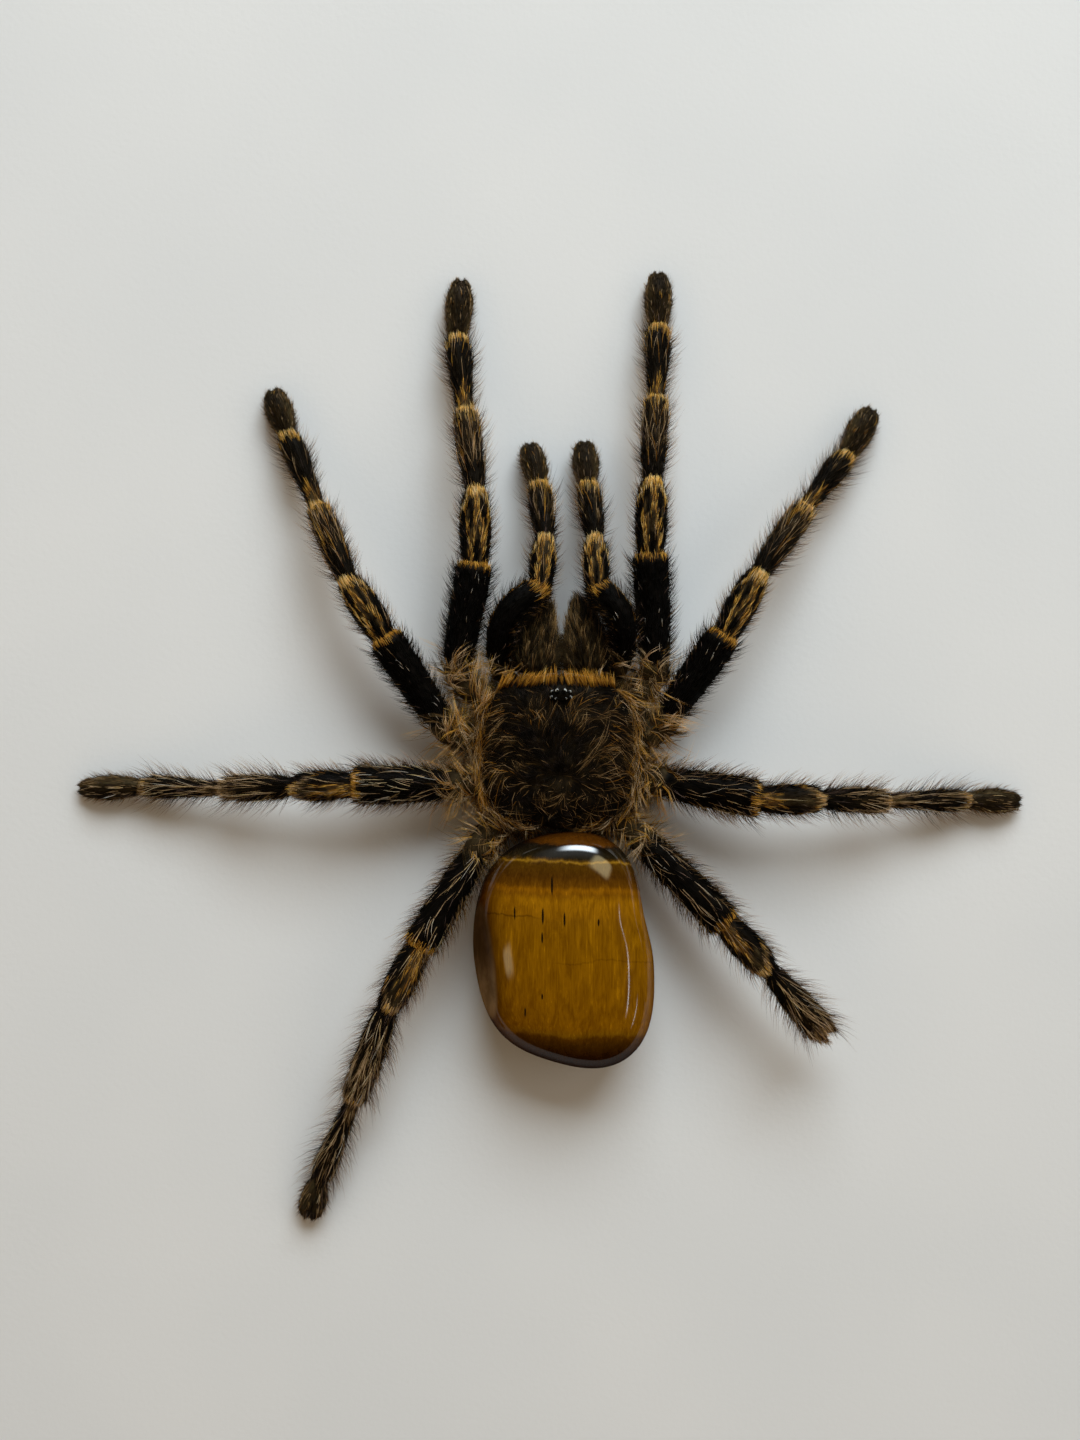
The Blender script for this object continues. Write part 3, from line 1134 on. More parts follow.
def carapace_skin(rows=56, columns=96):
    """A low dome on a squarish outline: over the plan share r from centre to rim it rises by
    sqrt(1 - r^2.6) of its height, and its underside sags by the same rule."""
    fall = np.linspace(0.02, math.pi - 0.02, rows)[:, None]
    bearing = full_turn(columns)[None]
    share = np.sin(fall) + 0 * bearing
    reach = share * superellipse(bearing, CARAPACE_HALF, CARAPACE_SQUARENESS) * CARAPACE_SKIN
    grid = ring_points(CARAPACE_CENTRE, bearing, reach, CARAPACE_MARGIN_Z)
    relief = carapace_relief(grid[..., 0], grid[..., 1])
    top = dome_rise(share) * (CARAPACE_RISE + relief) * 0.97
    grid[..., 2] += np.where(fall < math.pi / 2, top, -dome_rise(share) * CARAPACE_FLOOR)
    return Skin(grid)


def ball_skin(centre, half, rows, columns, power=1.0, squareness=2.0):
    """An ellipsoid, or a fuller form where power is below 1."""
    fall = np.linspace(0.06, math.pi - 0.06, rows)[:, None]
    bearing = full_turn(columns)[None]
    reach = np.sin(fall) ** power * superellipse(bearing, half[:2], squareness)
    height = np.copysign(np.abs(np.cos(fall)) ** power, np.cos(fall)) * half[2]
    return Skin(ring_points(centre, bearing, reach, centre[2] + height))


def route_skin(route, rows, columns, full=1.0):
    """A tube through a route's points, smoothed, with a round section of the route's radii."""
    places = np.array([place for place, _ in route])
    radii = np.array([radius for _, radius in route]) * full
    steps = np.concatenate([[0], np.cumsum(np.linalg.norm(np.diff(places, axis=0), axis=1))])
    at = np.linspace(0, steps[-1], rows)
    centre = settle(np.stack([np.interp(at, steps, column) for column in places.T], -1), 4)
    radius = settle(np.interp(at, steps, radii), 3)
    forward = unit(np.gradient(centre, axis=0))
    side = unit(np.array([1.0, 0.0, 0.0]) - forward[:, :1] * forward)
    section = circles(-math.pi + full_turn(columns), np.cross(side, forward), side)
    grid = centre[:, None] + radius[:, None, None] * section
    back = centre[0] - 0.25 * radius[0] * forward[0]
    front = centre[-1] + 0.3 * radius[-1] * forward[-1]
    return Skin(grid, (back, front))


def join_skins(skins):
    """Several closed skins as one set of points and faces."""
    points, faces, total = [], [], 0
    for skin in skins:
        points.append(skin.points())
        faces += [part + total for part in skin.faces()]
        total += len(points[-1])
    return np.concatenate(points), faces


# The coats of the carapace: hairs, rings, lengths, their chance to shine, and their waves.
CARAPACE_COATS = (
    (8000, 1, (0.8, 1.5), 0.06, 0.0),
    (4600, 2, (1.3, 2.3), 0.25, 0.0),
    (1700, 4, (2.0, 3.8), 0.60, 0.035),
)
EYE_CLEARANCE = 1.3  # without these hairs, round the eye mound's middle


def carapace_light(point, far, bearing):
    """How light the carapace's hairs are: lighter at the rim, on the ridges beside the head's
    grooves and in patches, darker in the grooves and on the brow."""
    wide = np.abs(bearing)
    x, y = point[:, 0] - FOVEA[0], point[:, 1]
    groove = bell(wide - 0.62, 0.12) * ease(far, 12, 7) + 1.2 * bell(x, 0.7) * (wide < 1)
    brow = ease(y, 4.5, 7.5)
    ridge = 0.45 * bell(wide - 0.97, 0.17) + 0.40 * bell(wide - 1.42, 0.14)
    patch = 0.8 * bell(np.abs(x) - 2.8, 1.4) * bell(y - 4.0, 2.2)
    patch = patch + 0.45 * bell(x, 4.0) * bell(y + 7.8, 1.6)
    light = 0.20 + 0.25 * ease(far, 5.0, 11.0) + ridge + patch - 0.8 * groove - 0.5 * brow
    return light + 0.10 * np.sin(bearing) + 0.25 * ripples(point, 3.0, 64)


def add_fan(coat, fan, rng, rings, long, shine, waves):
    """Hairs that point away from the fovea, and backwards near the rim."""
    count = len(fan)
    away = fan.point - (*FOVEA, CARAPACE_MARGIN_Z + CARAPACE_RISE)
    far = np.hypot(away[:, 0], away[:, 1])
    bearing = np.arctan2(away[:, 0], away[:, 1])
    rim = ease(far, 5.0, 11.0)
    back = BACK * (0.9 * rim * np.abs(np.sin(bearing)))[:, None]
    away = away / np.maximum(far, 0.1)[:, None] + back
    rear = ease(np.abs(bearing), 1.6, 2.3) * ease(far, 0.5, 2.5)
    swing = 0.40 * ripples(fan.point, 5.5, 62) + 0.22 * ripples(fan.point, 2.2, 63)
    swing = swing + rear * ripples(fan.point, 4.0, 67) + 0.10 * rng.normal(size=count)
    way = fan.lay(rng.uniform(6, 18, count), swing, away)

    light = carapace_light(fan.point, far, bearing)
    tints = BLACK_BROWN - 0.10 + 0.22 * np.clip(light, 0, 1) + 0.03 * rng.normal(size=count)
    chance = shine * (0.25 + 0.75 * ease(far, 0.5, 3.5)) * np.clip(light, 0.06, 1)
    shining = rng.random(count) < chance
    gold = strew(np.zeros(count), 0.25 * rim, UMBER, ORANGE + 0.03, rng)
    gold = np.where(gold > 0, gold, rng.uniform(OLIVE + 0.05, TAN + 0.04, count))
    tints = np.where(shining, gold, np.clip(tints, VELVET - 0.03, PALE))
    curl = 0.45 * ripples(fan.point, 2.4, 66) + 0.15 * rng.normal(size=count)
    bends = curl[:, None] * fan.around - 0.14 * fan.normal + 0.5 * back
    lengths = rng.uniform(*long, count) * (0.6 + 0.4 * ease(far, 1.5, 6.0))
    widths = rng.uniform(0.06, 0.09, count) + 0.02 * shining
    coat.add(fan.point, way, lengths, widths, tints, bends, rings, waves)


def make_carapace(hide, hairs):
    """The carapace with its fovea and grooves, and its coats of hairs."""
    skin = carapace_skin()
    streak = ripples(skin.points() * (1, 1, 0), 2.5, 41)
    tint = np.clip(BLACK_BROWN + 0.02 + 0.04 * streak, 0.1, 1)
    skin.piece("carapace", hide, "carapace_fur", "cephalothorax", (150, 16), tint)
    rng = np.random.default_rng(61)
    coat = Coat()
    for number, *kind in CARAPACE_COATS:
        fan = skin.grow(number, rng, skin.rows_between(0, 0.52))
        from_eyes = fan.point[:, :2] - EYE_MOUND[:2]
        fan = fan.only(np.hypot(from_eyes[:, 0], from_eyes[:, 1]) > EYE_CLEARANCE)
        add_fan(coat, fan, rng, *kind)
    coat.piece("carapace_hairs", hairs, "carapace_fur")


# From which bearing to which the rim has these hairs, on the left (-1) and on the right.
GAPS = {-1: (0.75, 2.8), 1: (0.5, 2.8)}
RIM_WOOL = {-1: (0.75, 2.75), 1: (0.6, 2.75)}


def margin(bearing, out=0.0, down=0.0):
    """Points on the carapace's rim at these bearings, moved outwards and down."""
    reach = superellipse(bearing, CARAPACE_HALF, CARAPACE_SQUARENESS) + out
    return ring_points(CARAPACE_CENTRE, bearing, reach, CARAPACE_MARGIN_Z - down)


def rim_ways(bearing, side):
    """The ways back along the rim and outwards from it, at bearings on one side."""
    here = margin(side * bearing)
    return unit(margin(side * (bearing + 0.02)) - here), unit(margin(side * bearing, 1.0) - here)


def add_side_fringe(coat, side, rng, count=1000):
    """Ginger hairs that sweep back along one side of the carapace and round its rear corner."""
    bearing = 0.75 + 1.9 * rng.random(count) ** 1.1
    out = -0.20 + 0.30 * rng.normal(size=count)
    root = margin(side * bearing, out, rng.uniform(-0.9, 0.3, count))
    back, outward = rim_ways(bearing, side)
    spread = 0.12 + 0.18 * ripples(root, 2.5, 72) + 0.14 * rng.normal(size=count)
    lift = 0.22 + 0.20 * rng.normal(size=count)
    way = unit(back + spread[:, None] * outward + lift[:, None] * UP)
    bright = strew(np.zeros(count), 0.62, UMBER + 0.02, ORANGE + 0.02, rng)
    bright = np.where(bright > 0, bright, rng.uniform(TAN, PALE + 0.01, count))
    tints = strew(bright, 0.50, BLACK_BROWN, DARK_BROWN + 0.05, rng)
    lengths = rng.uniform(2.4, 5.4, count)
    widths = rng.uniform(0.06, 0.11, count)
    bends = -0.25 * outward - 0.12 * UP
    coat.add(root, way, lengths, widths, tints, bends, rings=4, waves=WOOL_WAVES)


def add_gap_hairs(coat, side, rng, count=2500):
    """Dark hairs that fill the gaps between the legs of one side."""
    bearing = rng.uniform(*GAPS[side], count)
    root = margin(side * bearing, -1.2, rng.uniform(0.8, 5.0, count))
    back, outward = rim_ways(bearing, side)
    aside = rng.uniform(-0.9, 0.9, (count, 1))
    way = unit(outward + aside * back + rng.uniform(-0.3, 0.1, (count, 1)) * UP)
    tints = rng.uniform(BLACK_BROWN, BROWN, count)
    coat.add(root, way, rng.uniform(2.8, 5.2, count), 0.15, tints)


def add_rim_wool(coat, side, rng, locks=260):
    """Locks of wool under the rim of one side."""
    count = locks * WOOL_LOCK
    bearing = np.repeat(rng.uniform(*RIM_WOOL[side], locks), WOOL_LOCK)
    each = lock_chances(WOOL_LOCK, locks, rng)
    root = margin(side * bearing, -1.0, 0.9 + 2.6 * each[0]) + 0.16 * rng.normal(size=(count, 3))
    back, outward = rim_ways(bearing, side)
    aside = 3.2 * (each[1] - 0.4) + 0.10 * rng.normal(size=count)
    way = unit(outward + aside[:, None] * back + 0.5 * (each[2] - 0.7)[:, None] * UP)
    bends = 1.2 * (each[2] - 0.5)[:, None] * back - 0.15 * UP
    tints = wool_tints(each[0], rng)
    lengths = (2.8 + 3.0 * each[1]) * rng.uniform(0.8, 1.15, count)
    widths = rng.uniform(0.08, 0.12, count)
    coat.add(root, way, lengths, widths, tints, bends, rings=3, waves=WOOL_WAVES)


def add_front_comb(coat, rng, locks=158, hairs=7):
    """The comb of golden bristles along the front edge, which lean away from its middle."""
    count = locks * hairs
    x = np.repeat(rng.uniform(-8.7, 10.4, locks), hairs) + 0.09 * rng.normal(size=count)
    each = lock_chances(hairs, locks, rng)
    inside = np.abs((x - CARAPACE_CENTRE[0]) / CARAPACE_HALF[0]) ** CARAPACE_SQUARENESS
    edge = CARAPACE_CENTRE[1] + CARAPACE_HALF[1] * (1 - inside) ** (1 / CARAPACE_SQUARENESS)
    y = np.minimum(edge - 0.2, 9.6 + rng.uniform(-0.5, 0.4, count))
    bearing = np.arctan2(x - CARAPACE_CENTRE[0], y - CARAPACE_CENTRE[1])
    share = np.hypot(x - CARAPACE_CENTRE[0], y - CARAPACE_CENTRE[1])
    share = share / superellipse(bearing, CARAPACE_HALF, CARAPACE_SQUARENESS)
    z = CARAPACE_MARGIN_Z + CARAPACE_RISE * dome_rise(share)
    lean = 0.50 * ease(x, 2, -3) - 0.35 * ease(x, 0, 5) + 0.6 * (each[0] - 0.5)
    lean = lean + 0.06 * rng.normal(size=count)
    way = unit(np.stack([lean, np.ones(count), 0.05 + 0.5 * each[2]], -1))
    tints = UMBER - 0.01 + 0.11 * each[1] + 0.03 * rng.normal(size=count)
    tints = np.where(each[2] < 0.27, VELVET + 0.03, np.clip(tints, UMBER, STRAW))
    reach = 12.2 - y + 0.7 * bell(x - 1.0, 0.6)
    lengths = reach * (0.65 + 0.45 * each[1]) * rng.uniform(0.5, 1.2, count)
    widths = rng.uniform(0.08, 0.12, count)
    bends = -0.25 * UP + 0.3 * (each[1] - 0.5)[:, None] * np.array([1.0, 0, 0])
    coat.add(np.stack([x, y, z], -1), way, lengths, widths, tints, bends, rings=3)


def make_fringe(hairs):
    """The hairs and the wool round the carapace's rim."""
    rng = np.random.default_rng(71)
    coat = Coat()
    for side in (-1, 1):
        add_side_fringe(coat, side, rng)
        add_gap_hairs(coat, side, rng)
        add_rim_wool(coat, side, rng)
    add_front_comb(coat, rng)
    coat.piece("fringe_hairs", hairs, "carapace_fur")


def make_underside(hide, hairs, count=1600):
    """The sternum between the coxae, with its short hairs."""
    centre, half = (*STERNUM_CENTRE, STERNUM_Z), (*STERNUM_HALF, STERNUM_HALF_HEIGHT)
    skin = ball_skin(centre, half, 26, 44, 0.75, STERNUM_SQUARENESS)
    skin.piece("sternum", hide, "carapace_fur", "cephalothorax", (30, 10), BLACK_BROWN + 0.03)
    rng = np.random.default_rng(81)
    coat = Coat()
    short = skin.grow(count, rng, skin.rows_between(0.4, 1))
    way = short.lay(rng.uniform(15, 45, count), 0.3 * rng.normal(size=count), BACK)
    tints = np.clip(DARK_BROWN + 0.08 * rng.normal(size=count), 0.12, 0.7)
    coat.add(short.point, way, rng.uniform(0.8, 1.8, count), 0.09, tints, rings=2)
    coat.piece("sternum_hairs", hairs, "carapace_fur")


def make_eyes(hide, hairs, gloss, count=420):
    """The eye mound and eight glossy eyes on it."""
    mound = ball_skin(EYE_MOUND, EYE_MOUND_HALF, 14, 24)
    mound.piece("eye_mound", hide, "carapace_fur", "cephalothorax", (12, 4), VELVET + 0.06)
    rng = np.random.default_rng(65)
    coat = Coat()
    short = mound.grow(count, rng, mound.rows_between(0, 0.56))
    way = short.lay(rng.uniform(10, 30, count), 0.5 * rng.normal(size=count), -BACK)
    coat.add(short.point, way, rng.uniform(0.15, 0.4, count), 0.05, VELVET + 0.04)
    coat.piece("eye_mound_hairs", hairs, "carapace_fur")
    balls, shines = [], []
    for across, along, size in EYES:
        slope = 1 - (across / EYE_MOUND_HALF[0]) ** 2 - (along / EYE_MOUND_HALF[1]) ** 2
        up = EYE_MOUND[2] + EYE_MOUND_HALF[2] * math.sqrt(max(0.0, slope))
        centre = np.array([EYE_MOUND[0] + across, EYE_MOUND[1] + along, up + 0.4 * size])
        balls.append(ball_skin(centre, (size, size, size), 14, 20))
        facing = unit(balls[-1].points() - centre)
        outside = facing @ unit(np.array([across, 0.6 * along, 0.0]))
        shines.append(ease(outside, 0.35, 0.7) * ease(facing[:, 2], 0.1, 0.3))
    points, faces = join_skins(balls)
    tint = np.concatenate(shines)
    add_piece("eyes", points, faces, gloss, "cephalothorax", tint=tint)


# The coats of a jaw: hairs, rings and lengths.
JAW_COATS = ((1900, 1, (0.9, 1.5)), (1500, 2, (1.5, 2.7)), (420, 3, (2.4, 4.0)))


def comb_jaw(coat, skin, side, rng):
    """Hairs combed forwards in locks of brown and black, the longest ones paler inside."""
    for number, rings, long in JAW_COATS:
        combed = skin.grow(number, rng)
        swing = 0.22 * ripples(combed.point, 3.0, 92) + 0.12 * rng.normal(size=number)
        way = combed.lay(rng.uniform(8, 30, number), swing)
        locks = ripples(combed.point * (1.6, 0.35, 1), 1.6, 93)
        tints = BLACK_BROWN - 0.01 + 0.30 * ease(locks, -0.3, 1.6) + 0.07 * rng.normal(size=number)
        if rings == 3:
            inside = ease(-side * (combed.point[:, 0] - CHELICERA_MIDLINE), -3.5, -2.0)
            tints = strew(tints, 0.2 + 0.6 * inside, BROWN, TAN, rng)
        lengths = rng.uniform(*long, number)
        widths = rng.uniform(0.07, 0.11, number)
        tints = np.clip(tints, 0.12, 0.8)
        coat.add(combed.point, way, lengths, widths, tints, -0.14 * combed.normal, rings)


def fill_jaw_gaps(coat, skin, side, rng):
    """Hairs that fill the gaps to the other jaw and to the pedipalp."""
    inward, forward = -side * (skin.grid[:-1, :, 0] - CHELICERA_MIDLINE), skin.grid[:-1, :, 1]
    inner = ease(inward, -2.4, -1.0) * ease(forward, 17.5, 14.5)
    outer = ease(inward, -5.8, -6.6) * ease(forward, 17.0, 13.0)
    for number, where, long, dark in ((900, inner, (1.2, 2.3), 0.0), (400, outer, (1.2, 2.4), 0.12)):
        filling = skin.grow(number, rng, where)
        way = filling.lay(rng.uniform(35, 80, number), 0.3 * rng.normal(size=number))
        tints = np.clip(DARK_BROWN - 0.03 - dark + 0.05 * rng.normal(size=number), 0.14, 0.6)
        lengths = rng.uniform(*long, number)
        coat.add(filling.point, way, lengths, 0.12, tints, -0.1 * filling.normal)


def make_chelicera(name, side, hide, hairs, horn):
    """One jaw with its hairs, and its glossy fang folded back under it."""

    def placed(route):
        return [
            ((CHELICERA_MIDLINE - side * (x - CHELICERA_MIDLINE), y, z), radius)
            for (x, y, z), radius in route
        ]

    skin = route_skin(placed(CHELICERA_ROUTE), 40, 36, 0.95)
    skin.piece(name + "_skin", hide, "jaw_fur", name, (40, 6), DARK_BROWN)
    route_skin(placed(FANG_ROUTE), 40, 20).piece(name + "_fang", horn, "jaw_fur", name)

    rng = np.random.default_rng(91 + side)
    coat = Coat()
    comb_jaw(coat, skin, side, rng)
    fill_jaw_gaps(coat, skin, side, rng)
    coat.piece(name + "_hairs", hairs, "jaw_fur")


# ---------------------------------------------------------------------------------------------
# The stone
# ---------------------------------------------------------------------------------------------


def stone_reach(angles):
    """The stone's reach from its centre: the smooth wave series that runs nearest the outline."""
    points = np.array(STONE_OUTLINE) - STONE_CENTRE
    turns = np.arange(1, STONE_WAVES + 1)

    def waves(at):
        phases = np.outer(at, turns)
        return np.hstack([np.ones((len(at), 1)), np.cos(phases), np.sin(phases)])

    at = np.arctan2(points[:, 1], points[:, 0])
    weights = np.linalg.lstsq(waves(at), np.hypot(points[:, 0], points[:, 1]), rcond=None)[0]
    return waves(angles) @ weights


def stone_skin(rows=84, columns=140):
    """A tumbled pebble: its outline drawn in towards top and bottom as a superellipse, leaning
    right as it rises, with a flat worn in its underside and a steep facet on its left: a point past
    the facet's plane n.p = d goes back by how far it is past it. The columns turn clockwise."""
    power = 2.0 / STONE_ROUNDNESS
    fall = np.linspace(0.012, math.pi - 0.012, rows)[:, None]
    angle = math.pi / 2 - full_turn(columns)
    rise = np.abs(np.cos(fall)) ** power
    height = np.where(fall < math.pi / 2, rise * STONE_HALF_HEIGHT, -rise * STONE_BELLY)
    reach = np.sin(fall) ** power * stone_reach(angle)[None]
    lean = STONE_LEAN * height / STONE_HALF_HEIGHT
    x = STONE_CENTRE[0] + reach * np.cos(angle) + lean
    y = STONE_CENTRE[1] + reach * np.sin(angle)
    z = STONE_HALF_HEIGHT + height + 0 * x
    points = np.stack([x, y, z], axis=-1)
    over = points @ np.array(STONE_FACET) - STONE_FACET_AT
    points -= 0.5 * (over + np.sqrt(over**2 + 0.02))[..., None] * np.array(STONE_FACET)
    points[..., 2] = np.maximum(0.0, points[..., 2])
    return Skin(points)


# Along the stone from its front end: the place of each band of colour, and its colour.
STONE_BANDS = (
    (-12.5, (0.080, 0.026, 0.002)), (-15.1, (0.090, 0.029, 0.002)), (-15.6, (0.010, 0.007, 0.004)),
    (-17.2, (0.016, 0.011, 0.004)), (-17.6, (0.070, 0.032, 0.003)), (-17.8, (0.300, 0.150, 0.010)),
    (-18.1, (0.080, 0.034, 0.002)), (-20.0, (0.076, 0.028, 0.002)), (-21.4, (0.135, 0.050, 0.002)),
    (-22.0, (0.265, 0.100, 0.002)), (-22.7, (0.215, 0.082, 0.002)), (-23.6, (0.310, 0.128, 0.002)),
    (-25.8, (0.285, 0.116, 0.002)), (-26.5, (0.248, 0.102, 0.002)),
    (-29.0, (0.240, 0.098, 0.001)), (-36.0, (0.235, 0.094, 0.001)), (-43.0, (0.240, 0.094, 0.001)),
    (-43.9, (0.205, 0.088, 0.002)), (-44.5, (0.105, 0.038, 0.001)), (-45.4, (0.070, 0.026, 0.001)),
    (-47.4, (0.030, 0.009, 0.001)), (-51.5, (0.012, 0.004, 0.001)),
)  # fmt: skip
STONE_FRONT, STONE_BACK = STONE_BANDS[0][0], STONE_BANDS[-1][0]
# Two fine cracks along the bands: their place, their soft edge, where across the stone they begin
# and where they are full, and their shade.
STONE_CRACKS = (
    (-26.1, (0.22, 0.06), (0.0, -4.0), (0.62, 0.60, 0.5)),
    (-32.6, (0.20, 0.05), (-1.0, 3.0), (0.80, 0.78, 0.7)),
)
# Black needles in the stone: middle (right, forward), half width and half length.
STONE_NEEDLES = (
    (-5.4, -25.4, 0.10, 0.95), (-1.1, -25.8, 0.13, 1.15), (-1.2, -29.1, 0.12, 0.75),
    (2.2, -26.3, 0.12, 0.95), (7.4, -26.8, 0.11, 0.5), (0.3, -21.2, 0.13, 1.25),
    (-3.8, -40.6, 0.10, 0.65), (-1.2, -38.1, 0.10, 0.40),
)  # fmt: skip
NEEDLE_BLACK = (0.008, 0.005, 0.002)


def facet_murk(finish, y):
    """The dull mottled brown of the facet, darker towards the rear."""
    stain = finish.noise(finish.object_place((0.5, 0.2, 0.3)), 1.0, 3.0, 0.6, 0.5)
    mottle = finish.between(stain, 0.35, 0.65)
    murk = finish.blend(mottle, (0.150, 0.090, 0.038), (0.250, 0.155, 0.072))
    dark = finish.times(murk, (0.32, 0.26, 0.20))
    return finish.blend(finish.between(y, -41.0, -31.0), murk, dark)


def add_cracks(finish, colour, x, bent):
    """Shades the cracks, which follow the bent bands."""
    for band, (edge, middle), (begin, full), shade in STONE_CRACKS:
        crack = finish.between(finish.maths("ABSOLUTE", bent - band), edge, middle)
        crack = crack * finish.between(x, begin, full)
        colour = finish.blend(crack, colour, finish.times(colour, shade))
    return colour


def add_needles(finish, colour, x, y):
    """Lays the needles over the colour, as small dark ovals."""
    for right, forward, width, length in STONE_NEEDLES:
        far = ((x - right) / (1.3 * width)) ** 2 + ((y - forward) / (1.15 * length)) ** 2
        colour = finish.blend(finish.between(far, 1.4, 0.4), colour, NEEDLE_BLACK)
    return colour


def tigers_eye_finish():
    """Polished tiger's eye: bands of gold and brown across the stone, silky fibres along it, a few
    black needles, and a clear polish over all."""
    finish = Finish("tigers_eye")
    x, y, z = finish.parts_of(finish.object_place())
    wander = finish.noise(finish.object_place((0.10, 0.05, 0.10)), 1.0, 2.0)
    jitter = finish.noise(finish.object_place((0.9, 0.12, 0.9)), 1.0, 2.0)
    bent = y + (x - 2.0) * 0.04 + (wander - 0.5) * 2.2 + (jitter - 0.5) * 0.9
    length = STONE_BACK - STONE_FRONT
    stops = [((at - STONE_FRONT) / length, colour) for at, colour in STONE_BANDS]
    bands = finish.ramp((bent - STONE_FRONT) / length, stops)

    fine = finish.noise(finish.object_place((4.2, 0.22, 4.2)), 1.0, 4.0, 0.65, 0.5)
    broad = finish.noise(finish.object_place((0.60, 0.16, 0.60)), 1.0, 4.0, 0.65, 1.2)
    silk = finish.between(fine * 0.5 + broad * 0.5, 0.36, 0.60)
    colour = finish.blend(silk, finish.times(bands, (0.60, 0.55, 0.42)), bands)
    colour = add_cracks(finish, colour, x, bent)
    wisps = finish.between(fine, 0.56, 0.74) * finish.between(broad, 0.42, 0.62)
    colour = finish.blend(wisps, colour, finish.times(bands, (1.65, 1.80, 2.6)))
    bright = finish.between(x + (y + 27.0) * 0.05, -10.5, -6.0)
    colour = finish.blend(bright, finish.times(colour, (0.20, 0.14, 0.2)), colour)
    high = finish.between(z, 8.5, 12.5)
    colour = finish.blend(high, finish.times(colour, (0.40, 0.36, 0.50)), colour)

    facet = x * STONE_FACET[0] + y * STONE_FACET[1] + z * STONE_FACET[2]
    flank = finish.between(facet, STONE_FACET_AT - 0.55, STONE_FACET_AT - 0.10)
    colour = finish.blend(flank, colour, facet_murk(finish, y))
    colour = add_needles(finish, colour, x, y)
    front = finish.between(y, -26.0, -19.0) * finish.between(z, 7.5, 12.0)
    polish = finish.maths("MAXIMUM", finish.between(z, 11.0, 14.2), front)
    return finish.set(
        base_color=colour,
        roughness=0.32 - silk * 0.08,
        specular_ior_level=0.0,
        coat_weight=(1.0 - flank * 0.88) * (polish * 0.93 + 0.07),
        coat_roughness=0.07,
        coat_ior=1.5,
        normal=finish.bump(fine, 0.004),
    )


# ---------------------------------------------------------------------------------------------
# Paper, light and camera
# ---------------------------------------------------------------------------------------------

CAMERA_PLACE = (-1.53, 4.08, 330.0)
CAMERA_LENS = 51.56
NEAREST_SEEN = 0.01  # metres from the camera
PAPER_HALF = 2.0  # metres

# The room's light from the horizon (0) to straight overhead (1).
ROOM_LIGHT = (
    (0.00, (0.07, 0.051, 0.034)), (0.20, (0.20, 0.145, 0.092)), (0.45, (0.60, 0.436, 0.272)),
    (0.68, (0.52, 0.380, 0.240)), (0.84, (0.07, 0.055, 0.042)), (1.00, (0.01, 0.01, 0.01)),
)  # fmt: skip
DAYLIGHT = (0.878, 0.998, 1.085)
PANE_LIGHT = (1.0, 0.83, 0.45)
# The two lamps that light the scene, and that nothing mirrors: place and size in metres, and watts.
LIGHTING = {
    "sky_light": ((0.20, 0.82, 0.70), (0.85, 0.65), 12.4),
    "side_light": ((1.50, 0.25, 1.15), (1.10, 0.90), 2.8),
}
# What the stone's polish mirrors of the room, which lights nothing: the same, its colour, and how
# far from its middle (0) towards its rim (0.5) it stays at full strength.
MIRRORED = {
    "window": ((0.11, 0.85, 0.32), (0.56, 0.32), 15.0, DAYLIGHT, 0.20),
    "far_wall": ((0.05, 0.93, 0.50), (1.20, 0.74), 1.4, DAYLIGHT, 0.10),
    "pane": ((0.43, 0.61, 0.67), (0.50, 0.56), 4.4, PANE_LIGHT, 0.30),
    "left_pane": ((-0.60, -0.20, 0.78), (0.20, 0.26), 0.50, PANE_LIGHT, 0.25),
    "side_strip": ((0.69, -0.19, 0.70), (0.66, 0.034), 0.64, DAYLIGHT, 0.20),
    "low_strip": ((0.80, -0.41, 0.44), (0.42, 0.030), 0.28, DAYLIGHT, 0.20),
}


def place_in_scene(name, data):
    placed = bpy.data.objects.new(name, data)
    bpy.context.scene.collection.objects.link(placed)
    return placed


def paper_finish():
    """Matt pale paper with a faint tooth."""
    finish = Finish("pale_paper")
    place = finish.object_place()
    tooth = finish.noise(place, 1.1, 3.0)
    cloud = finish.between(finish.noise(place, 0.02, 2.0), 0.3, 0.7)
    return finish.set(
        base_color=finish.blend(cloud, (0.74, 0.745, 0.735), (0.77, 0.77, 0.755)),
        roughness=0.9,
        specular_ior_level=0.2,
        normal=finish.bump(tooth, 0.03),
    )


def make_paper():
    mesh = bpy.data.meshes.new("paper")
    corners = [(x * PAPER_HALF, y * PAPER_HALF, 0) for x, y in ((-1, -1), (1, -1), (1, 1), (-1, 1))]
    mesh.from_pydata(corners, [], [(0, 1, 2, 3)])
    mesh.materials.append(paper_finish())
    place_in_scene("paper", mesh)


def add_lamp(name, place, size, power, colour):
    """A soft rectangular light at a place, facing the specimen."""
    light = bpy.data.lights.new(name, "AREA")
    light.shape = "RECTANGLE"
    light.size, light.size_y = size
    light.energy = power
    light.color = colour
    lamp = place_in_scene(name, light)
    lamp.location = place
    tilt = math.atan2(math.hypot(place[0], place[1]), place[2])
    lamp.rotation_euler = (tilt, 0, math.atan2(-place[1], -place[0]) - math.pi / 2)
    return lamp


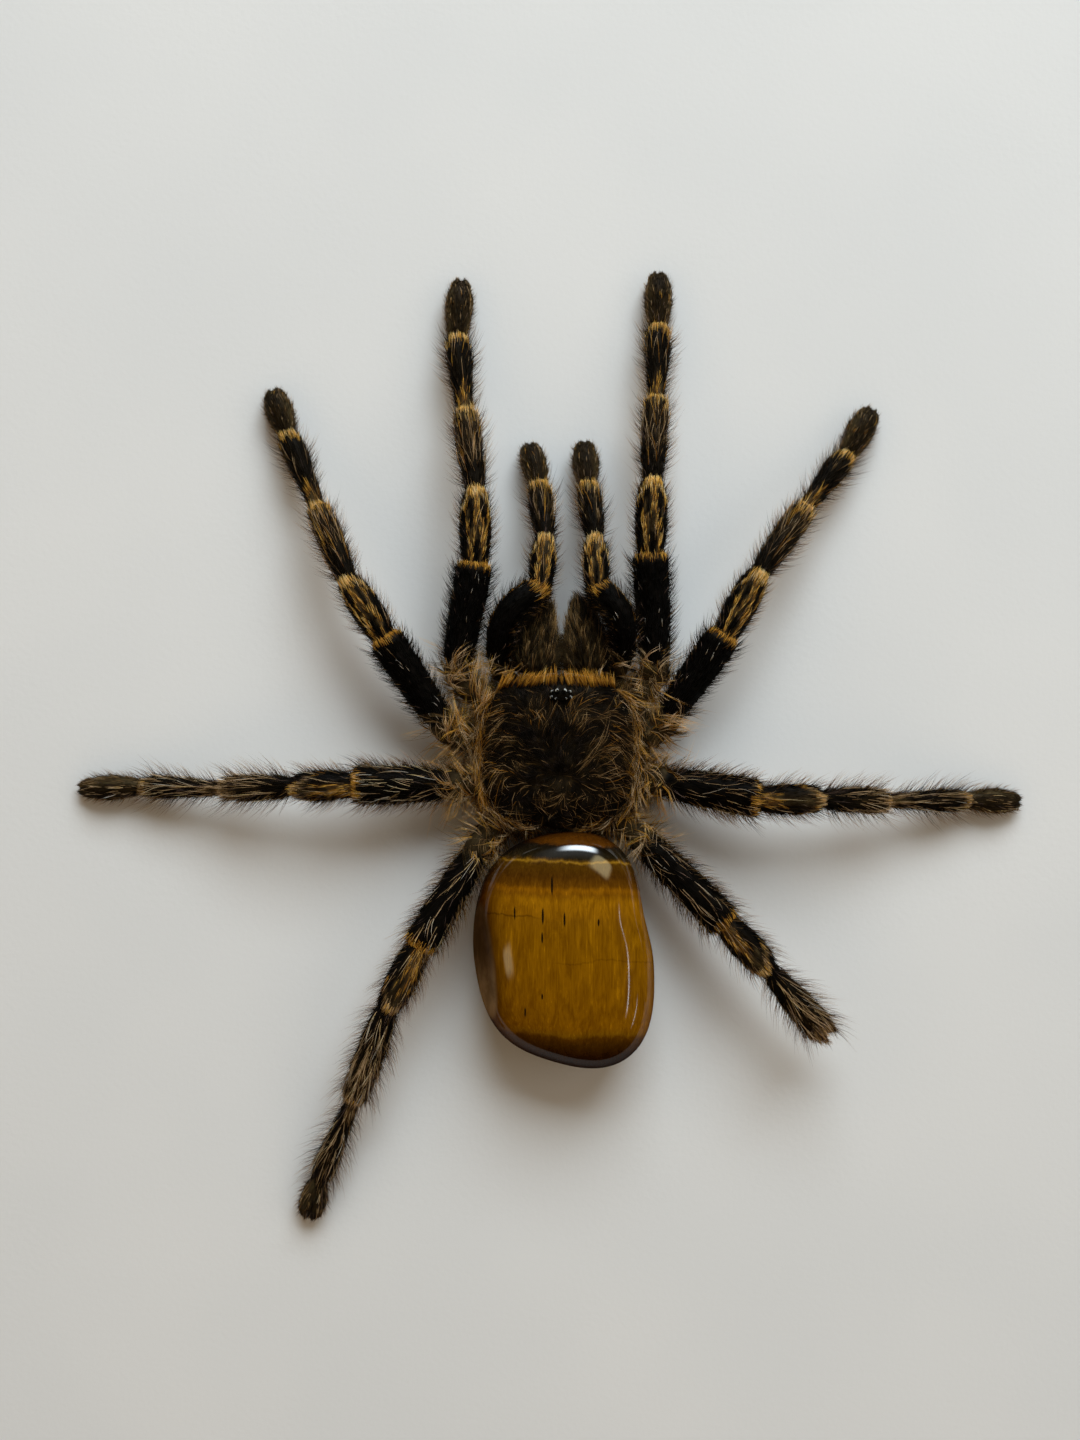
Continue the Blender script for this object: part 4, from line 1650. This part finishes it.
def soften(light, core):
    """Lets a lamp's light fall off from its core to nothing at its rim, on the squarish outline
    u^4 + v^4 = constant."""
    nodes = Nodes(light)
    u, v, _ = nodes.parts_of(nodes.node("ShaderNodeNewGeometry", output="Parametric"))
    out = ((u - 0.5) ** 4 + (v - 0.5) ** 4) ** 0.25
    nodes.feed(nodes.tree.nodes["Emission"].inputs["Strength"], nodes.between(out, 0.5, core))


def make_light():
    """Warm dim walls, a window low beyond the head, and panes that the stone's polish mirrors."""
    world = bpy.data.worlds.new("room")
    bpy.context.scene.world = world
    nodes = Nodes(world)
    world.cycles_visibility.glossy = False
    _, _, height = nodes.parts_of(nodes.node("ShaderNodeTexCoord", output="Generated"))
    room = nodes.ramp(height, ROOM_LIGHT)
    nodes.feed(nodes.tree.nodes["Background"].inputs["Color"], room)
    for name, (place, size, power) in LIGHTING.items():
        add_lamp(name, place, size, power, DAYLIGHT).visible_glossy = False
    for name, (*lamp, core) in MIRRORED.items():
        pane = add_lamp(name, *lamp)
        pane.visible_diffuse = False
        soften(pane.data, core)


def make_camera():
    data = bpy.data.cameras.new("camera")
    data.lens = CAMERA_LENS
    data.clip_start = NEAREST_SEEN
    camera = place_in_scene("camera", data)
    camera.location = [part * MM for part in CAMERA_PLACE]
    bpy.context.scene.camera = camera


def main():
    bpy.context.scene.view_settings.view_transform = "Standard"
    hairs = hair_finish()
    leg_hide = hide_finish("leg_hide")
    body_hide = hide_finish("body_hide")

    stone_skin().piece("stone", tigers_eye_finish(), "tigers_eye", "stone_abdomen")
    make_carapace(body_hide, hairs)
    make_fringe(hairs)
    make_underside(body_hide, hairs)
    make_eyes(body_hide, hairs, eye_finish())
    horn = horn_finish()
    for name, side in (("chelicera_left", -1), ("chelicera_right", 1)):
        make_chelicera(name, side, body_hide, hairs, horn)
    for number, (name, joints) in enumerate({**PALP_JOINTS, **LEG_JOINTS}.items()):
        if name in PALP_JOINTS:
            segments, fur, bow = PALP_SEGMENTS, PALP_FUR, PALP_BOW[name]
        else:
            segments, fur, bow = LEG_SEGMENTS[: len(joints) - 1], LEG_FUR[name[4]], (0, 0, 0)
        limb = Limb(name, joints, segments, fur, bow, seed=100 + 10 * number)
        limb.make_skin(leg_hide)
        limb.make_coat(hairs)
    make_paper()
    make_light()
    make_camera()


main()
